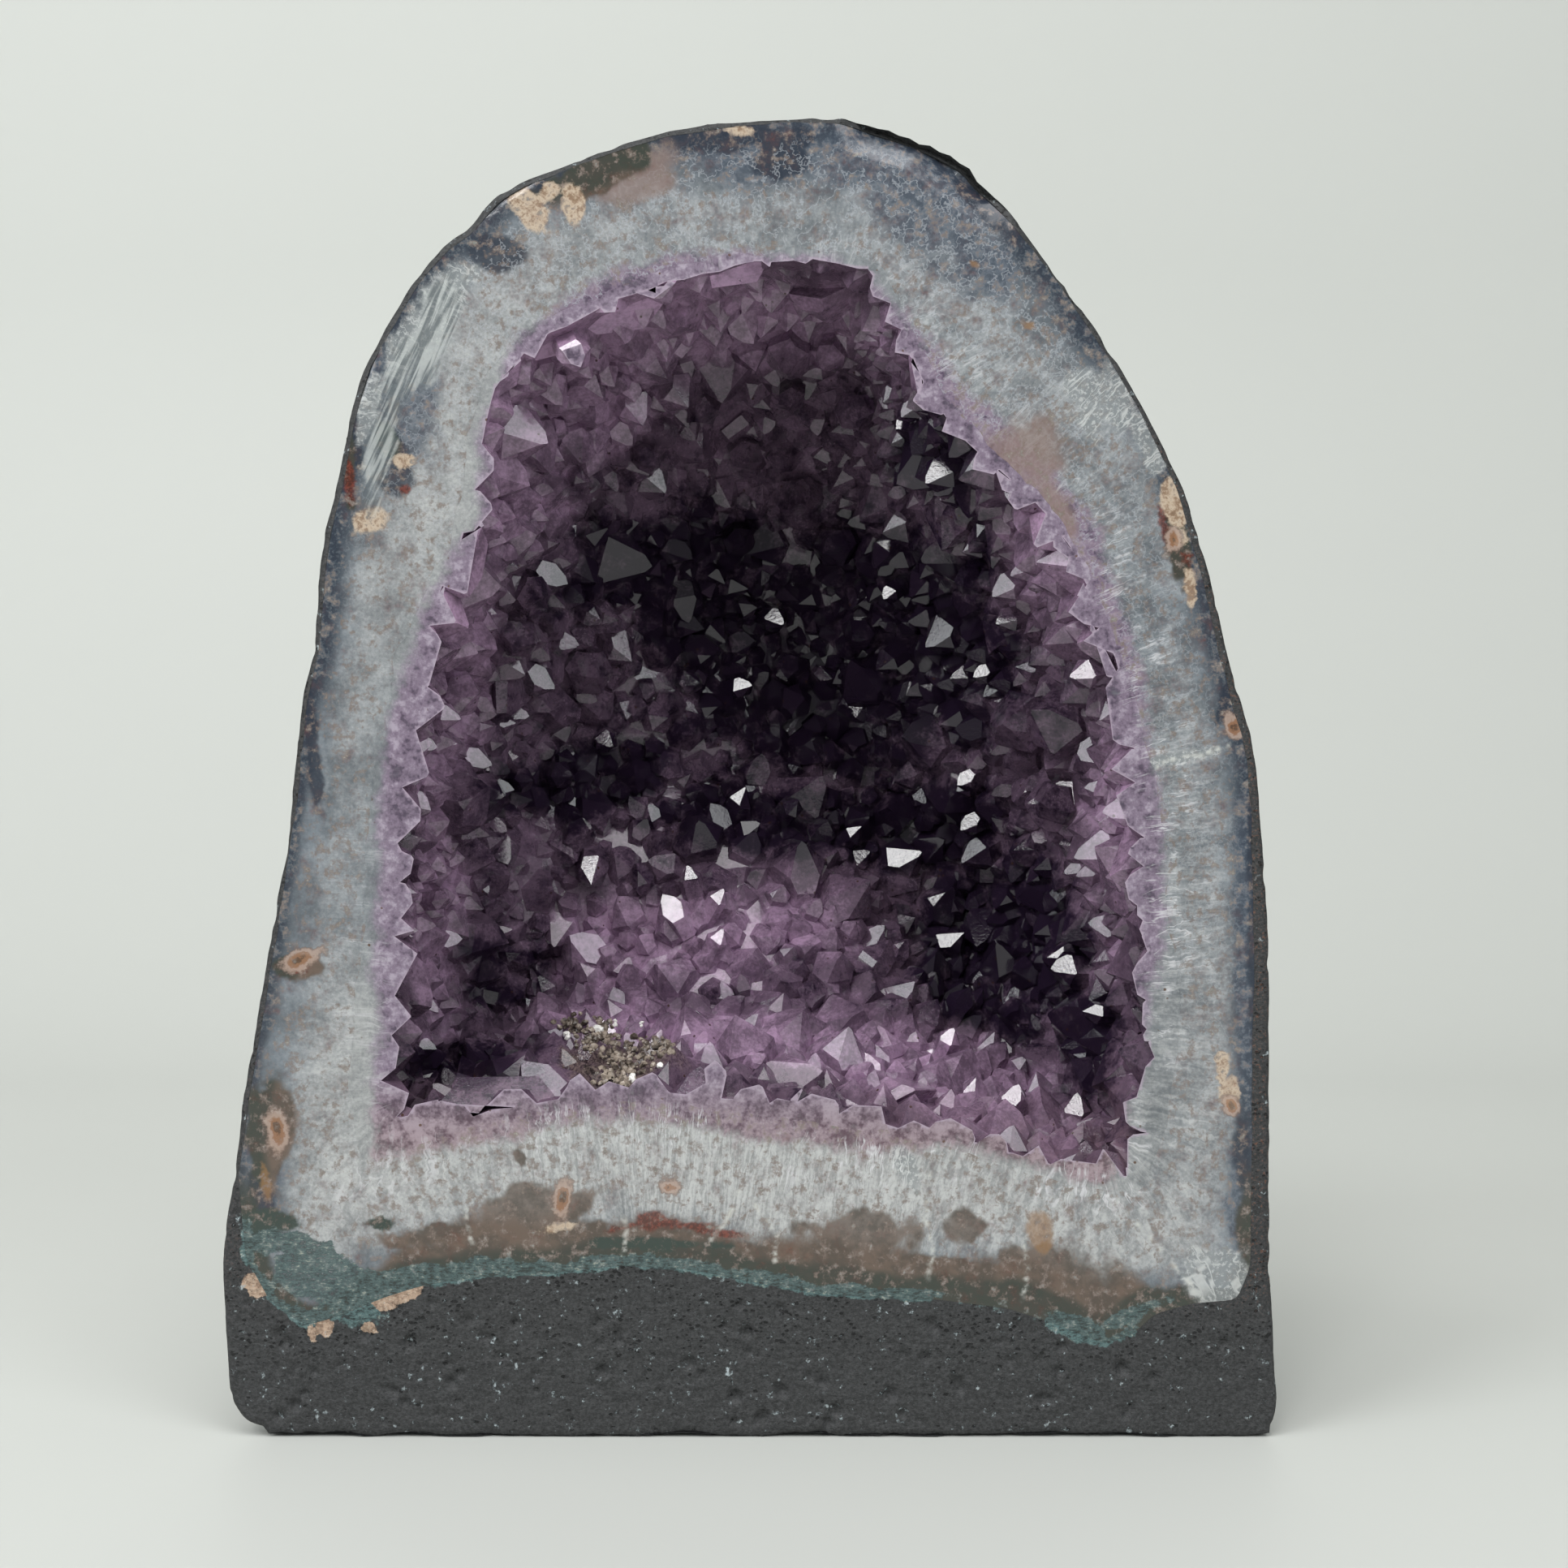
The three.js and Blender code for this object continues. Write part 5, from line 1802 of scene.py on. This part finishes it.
def crust_masks(mesh, bed):
    co = positions(mesh)
    height = np.array([bed.height(place) for place in co])
    set_mask(mesh, "height", height / FULL_HEIGHT)
    x, z = seen_at(co)
    # Painted light and painted shade: these masks lighten the crystals' colour where light falls on them
    # and darken it in the shaded hollows
    set_mask(mesh, "pale", spots(x, z, PAINTED_LIGHT_AREAS, 0.5, 21))
    set_mask(mesh, "dark", spots(x, z, PAINTED_SHADE_AREAS, 0.5, 22))
    near = 1 - ramp(co[:, 1] - FACE_Y, 20 * MM, 34 * MM)
    quartz_masks(mesh, co[:, [0, 2]], near)
    set_mask(mesh, "druse", spots(x, z, DRUSE_SPOTS, 0.5, 12) * near)
    on_cut = np.zeros(len(co), bool)
    off_cut = np.zeros(len(co), bool)
    for face in mesh.polygons:
        (on_cut if face.material_index else off_cut)[list(face.vertices)] = True
    # Painted highlight: this mask marks the inner edge of the polished cut, whose colour is painted
    # lighter as if light caught it
    set_mask(mesh, "lip_highlight", on_cut & off_cut)


# Colours and clearness of the crystals
DEEP_VIOLET = (0.03, 0.017, 0.04)
PINK_VEIL = ((0.08, 0.04, 0.055), (0.32, 0.2, 0.23))
IRON_SPECK = (0.09, 0.04, 0.018)
CRUMB_TONES = ((0.05, 0.035, 0.03), (0.27, 0.2, 0.17))
# Painted highlight for the inner edge of the polished cut
LIP_HIGHLIGHT_MAUVE = (0.4, 0.32, 0.4)
AMETHYST_IOR = 1.55
POINTS_CLEAR, POINTS_ROUGH = 0.5, 0.06
CUT_CLEAR, CUT_ROUGH = 0.1, 0.3


def finished_amethyst(s, settings, colour, clear, roughness):
    """Joins a body colour to the see-through shader that both finishes of the crust share."""
    s.link(colour, s.shader.inputs["Base Color"])
    s.shader.inputs["Transmission Weight"].default_value = clear
    s.shader.inputs["IOR"].default_value = AMETHYST_IOR
    s.shader.inputs["Roughness"].default_value = roughness
    absorb = s.node("ShaderNodeVolumeAbsorption")
    absorb.inputs["Color"].default_value = (*settings.tint, 1)
    absorb.inputs["Density"].default_value = settings.density
    s.link(absorb.outputs["Volume"], s.output.inputs["Volume"])


def specked(s, colour, cloudy):
    """Adds the small brown iron specks that sit in the quartz."""
    specks = s.times(s.step(s.cells(2.8 * MM), 0.07, 0.13, 1, 0), s.step(cloudy, 0.5, 0.58))
    return s.mix(s.times(specks, 0.9), colour, IRON_SPECK)


def points_material(settings):
    s = Surface("Amethyst")
    glow = tuple(settings.glow)
    dark, middling, bright = DEEP_VIOLET, shade(glow, 0.42), shade(glow, 1.25)
    cloudy = s.noise(3.4 * MM, 3, 0.68)
    fine = s.noise(0.7 * MM, 3, 0.7)
    veil = s.plus(s.times(cloudy, 1.1), s.times(fine, 0.7))
    # Painted light and painted shade: the colour is raised where light falls and lowered in the shaded
    # hollows
    painted_light_and_shade = s.math("SUBTRACT", s.mask("pale"), s.mask("dark"))
    amount = s.plus(s.times(painted_light_and_shade, 0.42), s.times(s.mask("tone"), 0.26))
    amount = s.plus(amount, s.times(s.math("SUBTRACT", veil, 0.86), 0.95))
    amount = s.plus(amount, s.step(s.mask("height"), 0.1, 0.55, 0.22, 0))
    colour = s.mix(s.step(amount, -0.15, 0.34), dark, middling)
    colour = s.mix(s.step(amount, 0.3, 0.95), colour, bright)
    pink = s.mix(cloudy, *PINK_VEIL)
    colour = s.mix(s.times(s.mask("pinkish"), s.step(cloudy, 0.3, 0.7, 0.1, 0.6)), colour, pink)
    colour = specked(s, colour, cloudy)
    druse = s.frayed(s.mask("druse"), cloudy, 1.3, 0.35)
    crumbs = s.mix(s.step(fine, 0.4, 0.6), *CRUMB_TONES)
    colour = s.mix(s.times(druse, 0.8), colour, crumbs)
    finished_amethyst(s, settings, colour, POINTS_CLEAR, POINTS_ROUGH)
    s.bump([(fine, 0.03 * MM)])
    return s.material


def cut_material(settings, agate_settings):
    s = Surface("Polished amethyst")
    grain = Grain(s)
    colour = quartz_colour(s, agate_settings, grain)
    # Painted highlight: the cut's inner edge is painted lighter
    lip_highlight = s.plus(s.mask("lip_highlight"), s.times(s.centred(grain.fine), 0.6))
    colour = s.mix(s.step(lip_highlight, 0.45, 0.95, 0, 0.8), colour, LIP_HIGHLIGHT_MAUVE)
    colour = specked(s, colour, grain.coarse)
    finished_amethyst(s, settings, colour, CUT_CLEAR, CUT_ROUGH)
    s.bump([(s.cells(3.2 * MM, "SMOOTH_F1"), -0.22 * MM), (grain.fine, 0.08 * MM)])
    return s.material


# Brown druse and white calcite bits on the lower rim

DRUSE_PLACES = [(735, 1275, 34), (775, 1300, 40), (812, 1290, 24), (760, 1330, 26), (705, 1262, 16)]
CALCITE_PLACES = [
    (738, 1268, 1.5), (758, 1262, 0.9), (778, 1330, 1.4), (812, 1312, 0.8), (700, 1276, 0.8),
    (790, 1262, 0.7), (770, 1288, 0.7),
]


def grain(random, place, size):
    """A small lumpy crystal with uneven faces."""
    bm = bmesh.new()
    bmesh.ops.create_icosphere(bm, subdivisions=1, radius=size)
    stretch = random.uniform(0.7, 1.25, 3)
    for vert in bm.verts:
        vert.co = Vector([c * k for c, k in zip(vert.co, stretch)]) * random.uniform(0.78, 1.15)
    turn = Quaternion(random.normal(0, 1, 4)).normalized()
    corners = [turn @ v.co + place for v in bm.verts]
    bm.verts.index_update()
    faces = [tuple(v.index for v in f.verts) for f in bm.faces]
    bm.free()
    return corners, faces


def druse_mesh(crust):
    corners_in, faces_in = [v.co for v in crust.vertices], [tuple(p.vertices) for p in crust.polygons]
    tree = BVHTree.FromPolygons(corners_in, faces_in)
    random = np.random.default_rng(31)
    vertices, faces, white = [], [], []

    def add(column, row, size, pale):
        place, _, _, _ = tree.ray_cast(EYE, sight(column, row))
        if place is None:
            return
        corners, sides = grain(random, place, size)
        start = len(vertices)
        vertices.extend(corners)
        faces.extend(tuple(i + start for i in side) for side in sides)
        white.extend([pale] * len(corners))

    for column, row, spread in DRUSE_PLACES:
        for _ in range(int(spread * 2.2)):
            shift = random.normal(0, 0.42 * spread, 2)
            add(column + shift[0], row + 0.7 * shift[1], random.uniform(0.35, 0.95) * MM, 0.0)
    for column, row, size in CALCITE_PLACES:
        for _ in range(3):
            shift = random.normal(0, 1.6 * size, 2)
            add(column + shift[0], row + shift[1], size * random.uniform(0.5, 0.9) * MM, 1.0)
    for vertex in vertices:
        vertex.y = max(vertex.y, FACE_Y + 0.3 * MM)
    mesh = mesh_of("druse_grains", vertices, faces)
    set_mask(mesh, "white", white)
    return mesh


DRUSE_TONES = ((0.06, 0.045, 0.035), (0.33, 0.27, 0.22))
CALCITE_WHITE = (0.82, 0.8, 0.76)


def druse_material():
    s = Surface("Druse and calcite")
    tone = s.noise(1.8 * MM, 3, 0.6)
    brown = s.mix(s.step(tone, 0.38, 0.62), *DRUSE_TONES)
    colour = s.mix(s.mask("white"), brown, CALCITE_WHITE)
    s.link(colour, s.shader.inputs["Base Color"])
    s.shader.inputs["Roughness"].default_value = 0.28
    s.bump([(s.noise(0.4 * MM, 3), 0.03 * MM)])
    return s.material


# The stage

FLOOR_FRONT = -1.6
BEND_START = 0.42
BEND_RADIUS = 0.45
WALL_HEIGHT = 2.2
STAGE_HALF_WIDTH = 2.4
BEND_STEPS = 24
FLOOR_DROP = 0.2 * MM  # the floor lies this far below the base, so that they don't mix
LENS_SENSOR = 36.0
CLIP_START = 10 * MM


def sweep_mesh():
    """A floor that curves up into a wall."""
    profile = [(FLOOR_FRONT, 0.0), (0.0, 0.0), (BEND_START, 0.0)]
    for step in range(1, BEND_STEPS + 1):
        turn = math.pi / 2 * step / BEND_STEPS
        profile.append((BEND_START + BEND_RADIUS * math.sin(turn), BEND_RADIUS * (1 - math.cos(turn))))
    profile.append((BEND_START + BEND_RADIUS, WALL_HEIGHT))
    vertices = [(side * STAGE_HALF_WIDTH, y, z - FLOOR_DROP) for y, z in profile for side in (-1, 1)]
    faces = [(2 * i, 2 * i + 1, 2 * i + 3, 2 * i + 2) for i in range(len(profile) - 1)]
    mesh = mesh_of("studio_floor", vertices, faces)
    for polygon in mesh.polygons:
        polygon.use_smooth = True
    return mesh


def floor_material(settings):
    s = Surface("Studio floor")
    tone = s.noise(120 * MM, 3, 0.5)
    base = tuple(settings.floor)
    s.link(s.mix(tone, shade(base, 0.98), base), s.shader.inputs["Base Color"])
    s.shader.inputs["Roughness"].default_value = 0.5
    s.shader.inputs["Specular IOR Level"].default_value = 0.25
    return s.material


def area_light(name, place, width, height, radiance, colour=(1, 1, 1), aim=AIM):
    light = bpy.data.lights.new(name, "AREA")
    light.shape = "RECTANGLE"
    light.size, light.size_y = width, height
    light.energy = radiance * math.pi * width * height
    light.color = colour
    obj = bpy.data.objects.new(name, light)
    obj.location = place
    obj.rotation_euler = (aim - place).to_track_quat("-Z", "Y").to_euler()
    bpy.context.scene.collection.objects.link(obj)
    return obj


# Operators


class GEODE_OT_basalt(bpy.types.Operator):
    """Build the weathered basalt boulder"""
    bl_idname = "geode.basalt"
    bl_label = "Basalt"

    def execute(self, context):
        settings = context.scene.geode_basalt
        mesh = rock_mesh(settings)
        rock_masks(mesh)
        mesh.materials.append(basalt_material(settings))
        rock = object_of("basalt_rock", mesh)
        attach(rock, "root")
        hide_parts("basalt_matrix")
        return {"FINISHED"}


class GEODE_OT_agate(bpy.types.Operator):
    """Build the polished band of agate and quartz"""
    bl_idname = "geode.agate"
    bl_label = "Agate band"

    def execute(self, context):
        settings = context.scene.geode_agate
        mesh = band_mesh(settings)
        band_masks(mesh)
        mesh.materials.append(agate_material(settings))
        band = object_of("agate_band", mesh)
        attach(band, "root")
        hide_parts("agate_quartz_band")
        return {"FINISHED"}


class GEODE_OT_amethyst(bpy.types.Operator):
    """Grow the amethyst crust and the druse on its lower rim"""
    bl_idname = "geode.amethyst"
    bl_label = "Amethyst crust"

    def execute(self, context):
        settings = context.scene.geode_amethyst
        mesh, bed = crust_mesh(settings)
        crust_masks(mesh, bed)
        mesh.materials.append(points_material(settings))
        mesh.materials.append(cut_material(settings, context.scene.geode_agate))
        crust = object_of("amethyst_points", mesh)
        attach(crust, "root")
        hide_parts("amethyst_crust")
        grains = druse_mesh(mesh)
        grains.materials.append(druse_material())
        druse = object_of("druse_grains", grains)
        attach(druse, "root")
        return {"FINISHED"}


class GEODE_OT_stage(bpy.types.Operator):
    """Set the floor, the studio light and the camera"""
    bl_idname = "geode.stage"
    bl_label = "Stage"

    def execute(self, context):
        settings = context.scene.geode_stage
        mesh = sweep_mesh()
        mesh.materials.append(floor_material(settings))
        object_of("studio_floor", mesh)
        world = bpy.data.worlds.new("Studio")
        world.use_nodes = True
        background = world.node_tree.nodes["Background"]
        background.inputs["Color"].default_value = (*settings.sky, 1)
        background.inputs["Strength"].default_value = settings.sky_strength
        context.scene.world = world
        area_light("top_light", TOP_PLACE, *TOP_SIZE, TOP_RADIANCE)
        area_light("wall_light", WALL_LIGHT_PLACE, *WALL_LIGHT_SIZE, WALL_LIGHT_RADIANCE, aim=WALL_AIM)
        area_light("lamp", LAMP_PLACE, LAMP_SIZE, LAMP_SIZE, LAMP_RADIANCE)
        windows = (
            ("left_window", LEFT_WINDOW_PLACE, 1),
            ("right_window", RIGHT_WINDOW_PLACE, RIGHT_WINDOW_SHARE),
        )
        for name, place, share in windows:
            area_light(name, place, *WINDOW_SIZE, share * WINDOW_RADIANCE, WINDOW_COLOUR)
        camera = bpy.data.cameras.new("camera")
        camera.sensor_width = LENS_SENSOR
        half_view = PHOTO_SIDE / 2 * PHOTO_SCALE / EYE_DISTANCE
        camera.lens = LENS_SENSOR / 2 / half_view
        camera.clip_start = CLIP_START
        eye = bpy.data.objects.new("camera", camera)
        eye.location = EYE
        eye.rotation_euler = (math.pi / 2, 0, 0)
        context.scene.collection.objects.link(eye)
        context.scene.camera = eye
        context.scene.view_settings.view_transform = "Standard"
        return {"FINISHED"}


class GEODE_PT_panel(bpy.types.Panel):
    """Lists the steps and what each one may be given"""
    bl_label = "Geode"
    bl_space_type = "VIEW_3D"
    bl_region_type = "UI"
    bl_category = "Geode"

    def draw(self, context):
        for name, step in STEPS:
            box = self.layout.box()
            box.operator(step.bl_idname)
            group = getattr(context.scene, name)
            for key in group.bl_rna.properties.keys():
                if key not in ("rna_type", "name"):
                    box.prop(group, key)


STEPS = [
    ("geode_basalt", GEODE_OT_basalt),
    ("geode_agate", GEODE_OT_agate),
    ("geode_amethyst", GEODE_OT_amethyst),
    ("geode_stage", GEODE_OT_stage),
]
SETTINGS = {
    "geode_basalt": BasaltSettings,
    "geode_agate": AgateSettings,
    "geode_amethyst": AmethystSettings,
    "geode_stage": StageSettings,
}
CLASSES = [*SETTINGS.values(), *(step for _, step in STEPS), GEODE_PT_panel]


def register():
    for kind in CLASSES:
        bpy.utils.register_class(kind)
    for name, kind in SETTINGS.items():
        setattr(bpy.types.Scene, name, bpy.props.PointerProperty(type=kind))


def unregister():
    for name in SETTINGS:
        delattr(bpy.types.Scene, name)
    for kind in reversed(CLASSES):
        bpy.utils.unregister_class(kind)


def main():
    register()
    bpy.ops.geode.basalt()
    bpy.ops.geode.agate()
    bpy.ops.geode.amethyst()
    bpy.ops.geode.stage()


if __name__ == "__main__":
    main()
